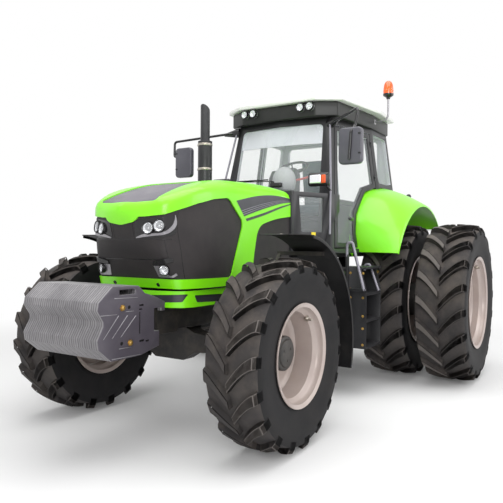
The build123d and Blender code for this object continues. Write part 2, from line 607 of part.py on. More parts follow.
# --------------------------------------------------------------------- hood
HOOD_REAR_X = ahead(1890)
HOOD_NOSE_X = front(662)
HOOD_LOW = 1180
HOOD_TOP = 2088
HOOD_HALF_W = 495
HOOD_REAR_HALF_W = 470
HOOD_REAR_TOP = 2044
HOOD_OVER = 60              # how far its form is drawn past the rear edge
COWL_HIGH = 2035            # top of the housing behind the hood
COWL_SEAT_H = 5             # height of the hood's rear edge that meets it
HOOD_WALL = 12
HOOD_HINGE_Z = 2046
HOOD_HINGE_R = 5
HOOD_HINGE_HALF = 240
SCREEN_RECESS = 4
SCREEN_T = 8


def hood_form(inset):
    """The hood's outer form: a plan, a side view and a front view crossed, drawn in."""
    back_x = HOOD_REAR_X - HOOD_OVER
    with BuildPart() as form:
        with BuildSketch(Plane.XY.offset(HOOD_LOW)) as plan:
            with BuildLine():
                side_line = Line((back_x, HOOD_REAR_HALF_W), (front(-150), HOOD_HALF_W))
                cheek = ThreePointArc(side_line @ 1, (front(330), 458), (front(550), 360))
                Polyline(cheek @ 1, (HOOD_NOSE_X, 60), (HOOD_NOSE_X, 0), (back_x, 0), side_line @ 0)
            make_face()
            mirror(about=Plane.XZ)
            if inset:
                offset(amount=-inset, kind=Kind.INTERSECTION)
        extrude(plan.sketch, amount=HOOD_TOP - HOOD_LOW)
        with BuildSketch(Plane.XZ.offset(-HOOD_HALF_W)) as profile:
            with BuildLine():
                back = Line((back_x, HOOD_LOW - inset), (back_x, HOOD_REAR_TOP))
                roof = ThreePointArc(back @ 1, (ahead(2250), HOOD_TOP), (front(-390), 2072))
                brow = ThreePointArc(roof @ 1, (front(136), 1996), (HOOD_NOSE_X, 1795))
                Polyline(brow @ 1, (front(590), 1500), (front(450), HOOD_LOW - inset), back @ 0)
            make_face()
            if inset:
                offset(amount=-inset, kind=Kind.INTERSECTION)
        extrude(profile.sketch, amount=2 * HOOD_HALF_W, mode=Mode.INTERSECT)
        with BuildSketch(Plane.YZ.offset(back_x)) as arch:
            with BuildLine():
                wall = Line((HOOD_HALF_W, HOOD_LOW - inset), (HOOD_HALF_W, 1850))
                shoulder = ThreePointArc(wall @ 1, (440, 2005), (250, HOOD_TOP))
                Polyline(shoulder @ 1, (0, HOOD_TOP), (0, HOOD_LOW - inset), wall @ 0)
            make_face()
            mirror(about=Plane.YZ)
            if inset:
                offset(amount=-inset, kind=Kind.INTERSECTION)
        extrude(arch.sketch, amount=HOOD_NOSE_X - back_x, mode=Mode.INTERSECT)
        bar(back_x - MERGE, HOOD_REAR_X, -HOOD_HALF_W, HOOD_HALF_W, HOOD_LOW - MERGE,
            HOOD_TOP + MERGE, Mode.SUBTRACT)
    return form.part


WINDOW_LOW = 1262
NOSE_WINDOW = (
    # X, Z: grille round the nose and along both sides
    (front(-308), 1705), (front(-100), 1882), (front(288), 1838), (front(550), 1760),
    (front(750), 1735), (front(750), WINDOW_LOW), (front(-146), WINDOW_LOW),
)
NOSE_WINDOW_R = 36
SIDE_WINDOW = (
    # X, Z: screen below the hood's side, towards the cab
    (ahead(1840), 1790), (ahead(2240), 1744), (ahead(2500), 1672), (ahead(2578), 1374),
    (ahead(2590), HOOD_LOW - 60), (ahead(1840), HOOD_LOW - 60),
)
SIDE_WINDOW_R = 90
NOSE_TONGUE = (
    # Y, Z: the hood's painted edge dips to a point between the lamps
    (210, 1900), (210, 1752), (140, 1690), (0, 1652), (-140, 1690), (-210, 1752), (-210, 1900),
)
NOSE_DEPTH = 260            # nose to the rear of the painted tongue
TOP_VENT = (
    # X, Y: air intake in the hood's top, left half from the front
    (front(605), 110), (front(545), 280), (front(-80), 265),
)


def hood_openings(gap):
    """What the grilles fill: their outlines across the hood, drawn in by a gap."""
    with BuildPart() as openings:
        for outline, corner in ((NOSE_WINDOW, NOSE_WINDOW_R), (SIDE_WINDOW, SIDE_WINDOW_R)):
            with BuildSketch(Plane.XZ.offset(-HOOD_HALF_W)) as window:
                Polygon(*outline, align=None)
                fillet(window.vertices(), corner)
                if gap:
                    offset(amount=-gap, kind=Kind.INTERSECTION)
            extrude(window.sketch, amount=2 * HOOD_HALF_W)
        with BuildSketch(Plane.YZ.offset(HOOD_NOSE_X - NOSE_DEPTH)) as tongue:
            Polygon(*NOSE_TONGUE, align=None)
            if gap:
                offset(amount=gap, kind=Kind.INTERSECTION)
        extrude(tongue.sketch, amount=2 * NOSE_DEPTH, mode=Mode.SUBTRACT)
        with BuildSketch(Plane.XY.offset(1700)) as vent:
            Polygon(*mirrored(TOP_VENT), align=None)
            if gap:
                offset(amount=-gap, kind=Kind.INTERSECTION)
        extrude(vent.sketch, amount=HOOD_TOP - 1700)
    return openings.part


hood_outside = hood_form(0)
screen_outside = hood_form(SCREEN_RECESS)
screen_inside = hood_form(SCREEN_RECESS + SCREEN_T)

with BuildPart() as hood_shell:
    add(hood_outside)
    add(hood_form(HOOD_WALL), mode=Mode.SUBTRACT)
    add(hood_openings(0), mode=Mode.SUBTRACT)
    bar(HOOD_REAR_X - MERGE, HOOD_REAR_X + MERGE, -HOOD_HALF_W, HOOD_HALF_W, HOOD_LOW,
        COWL_HIGH - COWL_SEAT_H, Mode.SUBTRACT)
    cross_pin(HOOD_REAR_X, HOOD_HINGE_Z, -HOOD_HINGE_HALF, HOOD_HINGE_HALF, HOOD_HINGE_R)
hood_shell.part.label = "hood_shell"
export_step(hood_shell.part, "parts/hood_shell.step")

with BuildPart() as hood_grille:
    add(screen_outside)
    add(screen_inside, mode=Mode.SUBTRACT)
    add(hood_openings(FIT), mode=Mode.INTERSECT)
    bar(HOOD_REAR_X - MERGE, HOOD_REAR_X + MERGE, -HOOD_HALF_W, HOOD_HALF_W, HOOD_LOW, HOOD_TOP,
        Mode.SUBTRACT)
hood_grille.part.label = "hood_grille"
export_step(hood_grille.part, "parts/hood_grille.step")

LAMP_ROWS = (
    # Y, Z, radius: in the nose, above and below
    (314, 1643, 42), (204, 1624, 42), (300, 1330, 36),
)
LAMP_DEPTH = 40
with BuildPart() as headlamps:
    for lamp_y, lamp_z, lamp_r in LAMP_ROWS:
        for side, name in SIDES:
            long_pin(side * lamp_y, lamp_z, front(350), HOOD_NOSE_X, lamp_r)
    add(hood_form(SCREEN_RECESS + SCREEN_T + FIT), mode=Mode.INTERSECT)
    add(hood_form(SCREEN_RECESS + SCREEN_T + LAMP_DEPTH), mode=Mode.SUBTRACT)
headlamps.part.label = "headlamps"
export_step(headlamps.part, "parts/headlamps.step")

BUMPER_T = 40
BUMPER_HIGH = HOOD_LOW - 15
BUMPER_REAR_X = front(-110)
BUMPER_FRONT_X = front(480)
BUMPER_HALF_W = 450
BUMPER_HALF = (
    # X, Y: outer face of the left half from the rear
    (BUMPER_REAR_X, BUMPER_HALF_W), (front(280), BUMPER_HALF_W), (front(406), 400),
    (front(470), 250), (BUMPER_FRONT_X, 60),
)
BUMPER_RECESS = 12          # depth of the long recesses
BUMPER_RECESS_H = 62
with BuildPart() as front_bumper:
    with BuildSketch(Plane.XY.offset(RAIL_HIGH + FIT)) as band:
        with BuildLine():
            run = Polyline(*BUMPER_HALF)
            Polyline(run @ 1, (BUMPER_FRONT_X, 0), (BUMPER_REAR_X, 0), run @ 0)
        make_face()
        mirror(about=Plane.XZ)
        offset(amount=-BUMPER_T, kind=Kind.INTERSECTION, mode=Mode.SUBTRACT)
    extrude(band.sketch, amount=BUMPER_HIGH - RAIL_HIGH - FIT)
    bar(BUMPER_REAR_X - MERGE, BUMPER_REAR_X + BUMPER_T + MERGE, BUMPER_T - BUMPER_HALF_W,
        BUMPER_HALF_W - BUMPER_T, RAIL_HIGH, BUMPER_HIGH + MERGE, Mode.SUBTRACT)
    # long recesses in the sides and across the front
    middle = (RAIL_HIGH + BUMPER_HIGH) / 2
    recess_low = middle - BUMPER_RECESS_H / 2
    recess_high = middle + BUMPER_RECESS_H / 2
    for side, name in SIDES:
        bar(front(-60), front(200), side * (BUMPER_HALF_W - BUMPER_RECESS), side * HOOD_HALF_W,
            recess_low, recess_high, Mode.SUBTRACT)
    bar(BUMPER_FRONT_X - 2 * BUMPER_RECESS, BUMPER_FRONT_X + MERGE, -230, 230, recess_low,
        recess_high, Mode.SUBTRACT)
front_bumper.part.label = "front_bumper"
export_step(front_bumper.part, "parts/front_bumper.step")

# -------------------------------------------------------------- rear fenders
FENDER_INNER_Y = 690
CREST_Y = 880
LIP_Y = 1235
FOOT_R = 700                # radius that the fender's form is closed at, inside the arch
FENDER_WALL = 12
FENDER_ARC = (
    # angle round the axle, crest radius, lip radius
    (30, 1120, 1110), (38, 1235, 1110), (46, 1325, 1110), (60, 1395, 1110), (75, 1345, 1110),
    (90, 1300, 1110), (105, 1240, 1110), (120, 1160, 1110), (130, 1110, 1100),
)
ARCH_R = 1030


def arc_point(angle, radius):
    """A point round the rear axle, as (x, z)."""
    turned = Vector(radius, 0).rotate(Axis.Z, angle)
    return (REAR_AXLE_X + turned.X, REAR_TYRE_R + turned.Y)


def crest_outline(spread):
    """The crest's line seen from the side, closed through the axle."""
    points = [arc_point(angle, crest + spread) for angle, crest, lip in FENDER_ARC]
    return [arc_point(FENDER_ARC[0][0], 300)] + points + [arc_point(FENDER_ARC[-1][0], 300)]


def fender_form(side, inset, mode=Mode.ADD):
    """The fender's form, drawn in by an inset: flat inside, sloped from crest to lip."""
    stations = []
    for angle, crest, lip in FENDER_ARC:
        section = ((FENDER_INNER_Y + inset, FOOT_R), (FENDER_INNER_Y + inset, crest - inset),
                   (CREST_Y, crest - inset), (LIP_Y, lip - inset), (LIP_Y, FOOT_R))
        stations.append([Vector(x, side * y, z) for y, radius in section
                         for x, z in (arc_point(angle, radius),)])
    faces = [stations[0], stations[-1][::-1]]
    faces.append([station[0] for station in stations] + [station[1] for station in stations[::-1]])
    faces.append([station[3] for station in stations] + [station[4] for station in stations[::-1]])
    for near, far in zip(stations, stations[1:]):
        faces += [(near[1], far[1], far[2], near[2]), (near[4], far[4], far[0], near[0]),
                  (near[2], far[2], far[3]), (near[2], far[3], near[3])]
    flat_faced(faces, mode)


with BuildPart() as rear_fenders:
    for side, name in SIDES:
        fender_form(side, 0)
    for side, name in SIDES:
        fender_form(side, FENDER_WALL, Mode.SUBTRACT)
    cross_pin(REAR_AXLE_X, REAR_TYRE_R, -LIP_Y, LIP_Y, ARCH_R, Mode.SUBTRACT)
rear_fenders.part.label = "rear_fenders"
export_step(rear_fenders.part, "parts/rear_fenders.step")

# ---------------------------------------------------------------------- cab
CAB_LOW = 1430
CAB_HIGH = 2860
CAB_WALL = 45
GLASS_T = 6
GLASS_INSET = 12            # outer face of the cab to its panes
CAB_REAR_X = ahead(-100)
CAB_HALF_W = 921
CAB_LEAN_IN = 200           # how far each side comes in from sill to roof
CAB_CORNERS = (
    # X and Y at the sill, X and Y under the roof: left half from the front centre
    (ahead(1590), 0, ahead(1290), 0),
    (ahead(1495), 714, ahead(1215), 566),
    (ahead(395), CAB_HALF_W, ahead(395), CAB_HALF_W - CAB_LEAN_IN),
    (CAB_REAR_X, CAB_HALF_W, CAB_REAR_X, CAB_HALF_W - CAB_LEAN_IN),
)
OPENING_CORNER_R = 50
HEADER_Z = 2795             # top of the doors and panes
SILL_Z = CAB_LOW + 45


def cab_form(inset):
    """The cab's leaning walls between sill and roof, drawn in by an inset."""
    with BuildPart() as form:
        bar(CAB_REAR_X + inset, CAB_CORNERS[0][0], -CAB_HALF_W, CAB_HALF_W, CAB_LOW, CAB_HIGH)
        for side, name in SIDES:
            for near, far in zip(CAB_CORNERS, CAB_CORNERS[1:]):
                foot = Vector(near[0], side * near[1], CAB_LOW)
                along = Vector(far[0], side * far[1], CAB_LOW) - foot
                rise = Vector(near[2], side * near[3], CAB_HIGH) - foot
                wall = Plane(origin=foot, x_dir=along, z_dir=along.cross(rise) * side)
                split(bisect_by=wall.offset(-inset), keep=Keep.BOTTOM)
    return form.part


def cut_fenders(gap):
    """Cut away what the rear fenders take up, with a gap round them."""
    for side, name in SIDES:
        side_outline(crest_outline(gap), side * (FENDER_INNER_Y - gap), side * (LIP_Y + 65),
                     Mode.SUBTRACT)


DOOR_REAR_X = ahead(460)
DOOR_OUTLINE = (
    # X, Z
    (ahead(1422), SILL_Z), (ahead(1160), HEADER_Z), (DOOR_REAR_X, HEADER_Z), (DOOR_REAR_X, 1900),
    (ahead(700), SILL_Z),
)
QUARTER_OUTLINE = (
    # X, Z
    (ahead(395), HEADER_Z), (ahead(-40), HEADER_Z), (ahead(-40), 2230), (ahead(395), 2230),
)
SHIELD_OUTLINE = (
    # Y, Z
    (-560, SILL_Z), (-500, HEADER_Z), (500, HEADER_Z), (560, SILL_Z),
)
REAR_OUTLINE = (
    # Y, Z
    (-640, 1900), (-620, HEADER_Z), (620, HEADER_Z), (640, 1900),
)

HINGE_X = DOOR_REAR_X
HINGE_Y = CAB_HALF_W - 108  # hinge line's distance from the centre plane at HINGE_Z
HINGE_Z = 2150
HINGE_LEAN = 0.14           # how far the line leans in for each unit of height
HINGE_R = 5
HINGE_ROWS = (2290, 2680)   # middle heights of each door's hinges
HINGE_H = 70


def hinge_barrel(side, z_from, z_to, radius, mode=Mode.ADD):
    """A round bar along a door's leaning hinge line."""
    foot = (HINGE_X, side * (HINGE_Y - HINGE_LEAN * (z_from - HINGE_Z)), z_from)
    lean = (0, -side * HINGE_LEAN, 1)
    with BuildSketch(Plane(origin=foot, x_dir=(1, 0, 0), z_dir=lean)) as section:
        Circle(radius)
    extrude(section.sketch, amount=(z_to - z_from) * sqrt(1 + HINGE_LEAN ** 2), mode=mode)


cab_outside = cab_form(0)

with BuildPart() as cab_frame:
    add(cab_outside)
    add(cab_form(CAB_WALL), mode=Mode.SUBTRACT)
    side_outline(DOOR_OUTLINE, -CAB_HALF_W, CAB_HALF_W, Mode.SUBTRACT)
    side_outline(QUARTER_OUTLINE, -CAB_HALF_W, CAB_HALF_W, Mode.SUBTRACT, OPENING_CORNER_R)
    front_outline(SHIELD_OUTLINE, ahead(1000), ahead(1700), Mode.SUBTRACT, OPENING_CORNER_R)
    front_outline(REAR_OUTLINE, ahead(-200), ahead(100), Mode.SUBTRACT, OPENING_CORNER_R)
    cut_fenders(FIT)
    for side, name in SIDES:
        hinge_barrel(side, CAB_LOW, CAB_HIGH, HINGE_R + FIT, Mode.SUBTRACT)
cab_frame.part.label = "cab_frame"
export_step(cab_frame.part, "parts/cab_frame.step")

FLOOR_T = 45
FLOOR_HALF_W = FENDER_INNER_Y - 8
MOUNT_W = 96
with BuildPart() as cab_floor:
    # floor plate on four rubber mounts
    half = ((CAB_REAR_X, FLOOR_HALF_W), (ahead(1485), FLOOR_HALF_W), (ahead(1560), 300))
    plan_outline(mirrored(half), CAB_LOW - FLOOR_T, CAB_LOW - FIT)
    for mount_x in (0, 740):
        for side, name in SIDES:
            bar(ahead(mount_x), ahead(mount_x) + MOUNT_W, side * 182, side * (182 + MOUNT_W),
                HOUSING_TOP + FIT, CAB_LOW - FLOOR_T + MERGE)
cab_floor.part.label = "cab_floor"
export_step(cab_floor.part, "parts/cab_floor.step")

COWL_WALL = 30
COWL_HALF_W = 480


def cowl_form(inset):
    """The housing between hood and windshield, drawn in by an inset."""
    half = ((HOOD_REAR_X - FIT - inset, COWL_HALF_W - inset), (ahead(1850), COWL_HALF_W - inset),
            (ahead(1400), 690 - inset), (ahead(1250), 700 - inset))
    with BuildPart() as form:
        plan_outline(mirrored(half), CAB_LOW, COWL_HIGH - inset)
    return form.part


CORNER_OUTLINE = (
    # X, Z: low window beside the windshield
    (ahead(1515), 1640), (ahead(1510), 1990), (ahead(1790), 1990), (ahead(1760), 1640),
)

with BuildPart() as cab_cowl:
    add(cowl_form(0))
    add(cowl_form(COWL_WALL), mode=Mode.SUBTRACT)
    add(cab_form(-FIT), mode=Mode.SUBTRACT)
    side_outline(CORNER_OUTLINE, -CAB_HALF_W, CAB_HALF_W, Mode.SUBTRACT)
cab_cowl.part.label = "cab_cowl"
export_step(cab_cowl.part, "parts/cab_cowl.step")

with BuildPart() as glass_skin:
    # a thin skin inside the cab's walls, that the panes are cut from
    add(cab_form(GLASS_INSET))
    add(cab_form(GLASS_INSET + GLASS_T), mode=Mode.SUBTRACT)


def pane(skin, plane, outline, depth, corner):
    """What a window's outline, drawn in by a fit, keeps of a thin skin."""
    with BuildPart() as glass:
        add(skin)
        with BuildSketch(plane) as opening:
            Polygon(*outline, align=None)
            if corner:
                fillet(opening.vertices(), corner)
            offset(amount=-FIT)
        extrude(opening.sketch, amount=depth, mode=Mode.INTERSECT)
    return glass.part


with BuildPart() as cowl_skin:
    add(cowl_form(GLASS_INSET))
    add(cowl_form(GLASS_INSET + GLASS_T), mode=Mode.SUBTRACT)
    add(cab_form(-FIT), mode=Mode.SUBTRACT)

with BuildPart() as cab_glazing:
    add(pane(glass_skin.part, Plane.YZ.offset(ahead(1000)), SHIELD_OUTLINE, 700, OPENING_CORNER_R))
    bar(ahead(900), ahead(1700), -CAB_HALF_W, CAB_HALF_W, CAB_LOW, COWL_HIGH + 5, Mode.SUBTRACT)
    add(pane(glass_skin.part, Plane.YZ.offset(ahead(-200)), REAR_OUTLINE, 300, OPENING_CORNER_R))
    add(pane(glass_skin.part, Plane.XZ.offset(-CAB_HALF_W), QUARTER_OUTLINE, 2 * CAB_HALF_W,
             OPENING_CORNER_R))
    add(pane(cowl_skin.part, Plane.XZ.offset(-CAB_HALF_W), CORNER_OUTLINE, 2 * CAB_HALF_W, 0))
cab_glazing.part.label = "cab_glazing"
export_step(cab_glazing.part, "parts/cab_glazing.step")

DOOR_GAP = 12
DOOR_T = 40
DOOR_RING = 50
DOOR_FENDER_GAP = 24


def door_area(side, inset):
    """The door's outline, drawn in by an inset, as a block on its side of the cab."""
    with BuildPart() as area:
        with BuildSketch(Plane.XZ) as outline:
            Polygon(*DOOR_OUTLINE, align=None)
            Polygon(*crest_outline(DOOR_FENDER_GAP - DOOR_GAP), align=None, mode=Mode.SUBTRACT)
            offset(amount=-inset, kind=Kind.INTERSECTION)
        extrude(outline.sketch, amount=-side * CAB_HALF_W)
    return area.part


door_inside = cab_form(DOOR_T)
for side, name in SIDES:
    with BuildPart() as door:
        add(cab_outside)
        add(door_inside, mode=Mode.SUBTRACT)
        add(door_area(side, DOOR_GAP), mode=Mode.INTERSECT)
        add(door_area(side, DOOR_GAP + DOOR_RING), mode=Mode.SUBTRACT)
        for middle in HINGE_ROWS:
            low = middle - HINGE_H / 2
            hinge_barrel(side, low, low + HINGE_H, HINGE_R)
            leaf_y = HINGE_Y - HINGE_LEAN * (middle - HINGE_Z)
            bar(HINGE_X, HINGE_X + DOOR_GAP + 4, side * (leaf_y - 2), side * (leaf_y + 2),
                middle - 10, middle + 10)
    door.part.label = f"door_{name}"
    export_step(door.part, f"parts/door_{name}.step")

    with BuildPart() as door_glass:
        add(glass_skin.part)
        add(door_area(side, DOOR_GAP + DOOR_RING + FIT), mode=Mode.INTERSECT)
    door_glass.part.label = f"door_glass_{name}"
    export_step(door_glass.part, f"parts/door_glass_{name}.step")

# --------------------------------------------------------------------- roof
ROOF_LOW = CAB_HIGH + FIT
ROOF_CAP_LOW = 3020
ROOF_RIM_H = 45             # upright edge of the cap
ROOF_RISE = 75              # crown above that edge
ROOF_SLOPE = 62             # degrees that the crown's sides lean in
ROOF_FRONT_X = ahead(1345)
ROOF_REAR_X = ahead(-130)
CEILING_PLAN = (
    # X, Y: left half from the front
    (ROOF_FRONT_X, 450), (ahead(1225), 665), (ahead(420), 745), (ROOF_REAR_X, 735),
)
CAP_PLAN = (
    # X, Y: left half from the front
    (ahead(1385), 470), (ahead(1225), 720), (ahead(400), 835), (ahead(-160), 800),
)

with BuildPart() as roof_base:
    plan_outline(mirrored(CEILING_PLAN), ROOF_LOW, ROOF_CAP_LOW)
roof_base.part.label = "roof_base"
export_step(roof_base.part, "parts/roof_base.step")

with BuildPart() as roof_cap:
    # upright rim, then a low crown that leans in all round
    cap_low = ROOF_CAP_LOW + FIT
    plan_outline(mirrored(CAP_PLAN), cap_low, cap_low + ROOF_RIM_H)
    with BuildSketch(Plane.XY.offset(cap_low + ROOF_RIM_H)) as crown:
        Polygon(*mirrored(CAP_PLAN), align=None)
    extrude(crown.sketch, amount=ROOF_RISE, taper=ROOF_SLOPE)
roof_cap.part.label = "roof_cap"
export_step(roof_cap.part, "parts/roof_cap.step")

ROOF_LAMP_R = 42
ROOF_LAMP_L = 40
ROOF_LAMP_Z = 2965
TAIL_LAMP_X = ahead(-712.5)
TAIL_LAMP_Z = REAR_TYRE_R + 820
TAIL_LAMP_H = 65
with BuildPart() as work_lamps:
    for side, name in SIDES:
        for lamp_y in (405, 294):
            long_pin(side * lamp_y, ROOF_LAMP_Z, ROOF_FRONT_X + FIT, ROOF_FRONT_X + ROOF_LAMP_L,
                     ROOF_LAMP_R)
        bar(ROOF_REAR_X - ROOF_LAMP_L, ROOF_REAR_X - FIT, side * 450, side * 550,
            ROOF_LAMP_Z - ROOF_LAMP_R, ROOF_LAMP_Z + ROOF_LAMP_R)
        bar(TAIL_LAMP_X - 47.5, TAIL_LAMP_X, side * 950, side * 1150, TAIL_LAMP_Z,
            TAIL_LAMP_Z + TAIL_LAMP_H)
work_lamps.part.label = "work_lamps"
export_step(work_lamps.part, "parts/work_lamps.step")

BEACON_X = ahead(350)
BEACON_Y = 900
BEACON_ROOT_Y = 744.3
BEACON_LENS_Z = 3264
BEACON_TOP = 3406
BEACON_R = 48
with BuildPart() as beacon:
    # stem out from the roof and up, a foot and the round lens on it
    tube_run(((BEACON_X, BEACON_ROOT_Y, 2950), (BEACON_X, BEACON_Y, 2950),
              (BEACON_X, BEACON_Y, 3230)), 14, 60)
    upright_pin(BEACON_X, BEACON_Y, 3229, BEACON_LENS_Z, BEACON_R + 12)
    upright_pin(BEACON_X, BEACON_Y, BEACON_LENS_Z, BEACON_TOP, BEACON_R)
beacon.part.label = "beacon"
export_step(beacon.part, "parts/beacon.step")

MIRROR_ROOT_X = ahead(1210)
MIRROR_TUBE_R = 11
MIRROR_BEND = 50
MIRROR_T = 62
MIRROR_LOW = 2300
MIRROR_HIGH = 2645
MIRROR_CORNER_R = 40
MIRROR_ROWS = (
    # side, head's X, middle Y and half width, then Y and Z along the arm past its root
    (1, ahead(1600), 970, 140, ((970, 2820), (970, 2500))),
    (-1, ahead(1420), 1190, 105, ((1380, 2740), (1380, 2560), (1200, 2560))),
)
with BuildPart() as mirrors:
    for side, head_x, head_y, half, arm in MIRROR_ROWS:
        bar(MIRROR_ROOT_X - 25, MIRROR_ROOT_X + 25, side * 584.2, side * 602, 2775, 2825)
        run = [(MIRROR_ROOT_X, side * 595, 2800)] + [(head_x, side * y, z) for y, z in arm]
        tube_run(run, MIRROR_TUBE_R, MIRROR_BEND)
        inner = side * (head_y - half)
        outer = side * (head_y + half)
        front_outline(((inner, MIRROR_LOW), (inner, MIRROR_HIGH), (outer, MIRROR_HIGH),
                       (outer, MIRROR_LOW)), head_x + 8, head_x + 8 + MIRROR_T, Mode.ADD,
                      MIRROR_CORNER_R)
mirrors.part.label = "mirrors"
export_step(mirrors.part, "parts/mirrors.step")

EXHAUST_X = ahead(1865)
EXHAUST_Y = -588
EXHAUST_R = 76
TAIL_R = 50
TAIL_WALL = 6
TAIL_TOP = 3000
with BuildPart() as exhaust_stack:
    # pipe out of the engine, the silencer upright, and a tail pipe cut on a slant
    tube_run(((EXHAUST_X + 115, -ENGINE_HALF_W - FIT, 1120), (EXHAUST_X + 115, -500, 1120),
              (EXHAUST_X, EXHAUST_Y, 1250), (EXHAUST_X, EXHAUST_Y, 1520)), 45, 60)
    upright_pin(EXHAUST_X, EXHAUST_Y, 1500, 2610, EXHAUST_R)
    upright_pin(EXHAUST_X, EXHAUST_Y, 2609, TAIL_TOP, TAIL_R)
    upright_pin(EXHAUST_X, EXHAUST_Y, 2700, TAIL_TOP + MERGE, TAIL_R - TAIL_WALL, Mode.SUBTRACT)
    slant = Plane(origin=(EXHAUST_X + TAIL_R, EXHAUST_Y, TAIL_TOP), z_dir=(-0.8, 0, 1))
    split(bisect_by=slant, keep=Keep.BOTTOM)
exhaust_stack.part.label = "exhaust_stack"
export_step(exhaust_stack.part, "parts/exhaust_stack.step")

# ------------------------------------------------------------ driver's place
SEAT_X = ahead(230)
SEAT_HALF_W = 245
SEAT_PAN_Z = 1850
CUSHION_T = 120
with BuildPart() as seat_base:
    # floor plate, suspension box that narrows upwards, and the seat's pan
    bar(SEAT_X, ahead(650), -200, 200, CAB_LOW, 1500)
    side_outline(((ahead(260), 1499), (ahead(300), 1800), (ahead(580), 1800), (ahead(620), 1499)),
                 -150, 150)
    bar(ahead(220), ahead(680), -220, 220, 1799, SEAT_PAN_Z)
seat_base.part.label = "seat_base"
export_step(seat_base.part, "parts/seat_base.step")

with BuildPart() as seat_cushions:
    cushion_top = SEAT_PAN_Z + FIT + CUSHION_T
    bar(SEAT_X, ahead(720), -SEAT_HALF_W, SEAT_HALF_W, SEAT_PAN_Z + FIT, cushion_top - FIT)
    side_outline(((ahead(225), cushion_top), (ahead(345), cushion_top), (ahead(250), 2560),
                  (ahead(130), 2560)), 10 - SEAT_HALF_W, SEAT_HALF_W - 10)
seat_cushions.part.label = "seat_cushions"
export_step(seat_cushions.part, "parts/seat_cushions.step")

WHEEL_X = ahead(985)
WHEEL_Z = 2385
WHEEL_R = 190
WHEEL_GRIP_R = 15
WHEEL_TILT = 30             # degrees that the hand wheel leans towards the driver
COLUMN_R = 28
CONSOLE_HALF_W = 150
WHEEL_PLANE = Plane(origin=(WHEEL_X, 0, WHEEL_Z), x_dir=(0, 1, 0),
                    z_dir=(-sin(radians(WHEEL_TILT)), 0, cos(radians(WHEEL_TILT))))
SPOKE_W = 36
SPOKE_T = 18
with BuildPart() as steering_console:
    # dash housing up from the floor, with the column out towards the driver
    side_outline(((ahead(1120), CAB_LOW), (ahead(1420), CAB_LOW), (ahead(1260), 2250),
                  (ahead(1190), 2350), (ahead(1080), 2300)), -CONSOLE_HALF_W, CONSOLE_HALF_W)
    fillet(steering_console.edges().filter_by(Axis.Y).sort_by(Axis.Z)[-3:], 30)
    with BuildSketch(WHEEL_PLANE.offset(-SPOKE_T / 2 - FIT)) as column:
        Circle(COLUMN_R)
    extrude(column.sketch, amount=-160)
steering_console.part.label = "steering_console"
export_step(steering_console.part, "parts/steering_console.step")

with BuildPart() as steering_wheel:
    with BuildSketch(WHEEL_PLANE) as spokes:
        RegularPolygon(45, 12)
        for turn in (0, 120, 240):
            with Locations(Location((0, 0), turn)):
                Rectangle(SPOKE_W, WHEEL_R, align=(Align.CENTER, Align.MIN))
    extrude(spokes.sketch, amount=SPOKE_T / 2, both=True)
    with BuildSketch(Plane(origin=WHEEL_PLANE.origin, x_dir=WHEEL_PLANE.x_dir,
                           z_dir=WHEEL_PLANE.y_dir)) as grip:
        with Locations((WHEEL_R, 0)):
            RegularPolygon(WHEEL_GRIP_R, 5)
    revolve(grip.sketch, axis=Axis(WHEEL_PLANE.origin, WHEEL_PLANE.z_dir))
steering_wheel.part.label = "steering_wheel"
export_step(steering_wheel.part, "parts/steering_wheel.step")

# ------------------------------------------------------- tank, box and steps
TANK_CORNER_R = 60
with BuildPart() as fuel_tank:
    bar(ahead(960), ahead(1640), 300, 880, 640, 1250)
    fillet(fuel_tank.edges().filter_by(Axis.X).group_by(Axis.Y)[-1], TANK_CORNER_R)
    bar(ahead(1000), ahead(1600), GEARBOX_HALF_W + FIT, 300 + MERGE, 700, 1100)
fuel_tank.part.label = "fuel_tank"
export_step(fuel_tank.part, "parts/fuel_tank.step")

with BuildPart() as battery_box:
    bar(ahead(1000), ahead(1600), -840, -300, 700, 1200)
    fillet(battery_box.edges().filter_by(Axis.X).group_by(Axis.Y)[0], TANK_CORNER_R)
    bar(ahead(1000), ahead(1600), -300 - MERGE, -GEARBOX_HALF_W - FIT, 740, 1100)
battery_box.part.label = "battery_box"
export_step(battery_box.part, "parts/battery_box.step")

STEP_ROWS = (500, 760, 1020, 1280)
STEP_T = 22
STEP_IN_Y = 900
STEP_OUT_Y = 1090
LADDER_FROM_X = ahead(1075)
LADDER_TO_X = ahead(1485)
CHEEK_T = 10
RAIL_TUBE_R = 13
with BuildPart() as entry_steps:
    # treads between two cheeks, each cheek narrowed towards its head
    for step_z in STEP_ROWS:
        bar(LADDER_FROM_X + MERGE, LADDER_TO_X - MERGE, STEP_IN_Y, STEP_OUT_Y, step_z, step_z + STEP_T)
    for cheek_x in (LADDER_FROM_X, LADDER_TO_X - CHEEK_T):
        front_outline(((880 + FIT, STEP_ROWS[0]), (880 + FIT, STEP_ROWS[-1] + STEP_T),
                       (STEP_OUT_Y - 60, STEP_ROWS[-1] + STEP_T), (STEP_OUT_Y, STEP_ROWS[-1] - 200),
                       (STEP_OUT_Y, STEP_ROWS[0])), cheek_x, cheek_x + CHEEK_T)
    # front handrail on its foot, and the rear one on the ladder's head
    tube_run(((ahead(1495), 890, 1400), (ahead(1495), 890, 1530), (ahead(1495), 940, 1540),
              (ahead(1495), 1070, 1070)), RAIL_TUBE_R, 16)
    bar(ahead(1484), ahead(1508), 885, 1080, 1060, 1090)
    bar(ahead(1484), ahead(1508), 881, 910, 1060, 1420)
entry_steps.part.label = "entry_steps"
export_step(entry_steps.part, "parts/entry_steps.step")

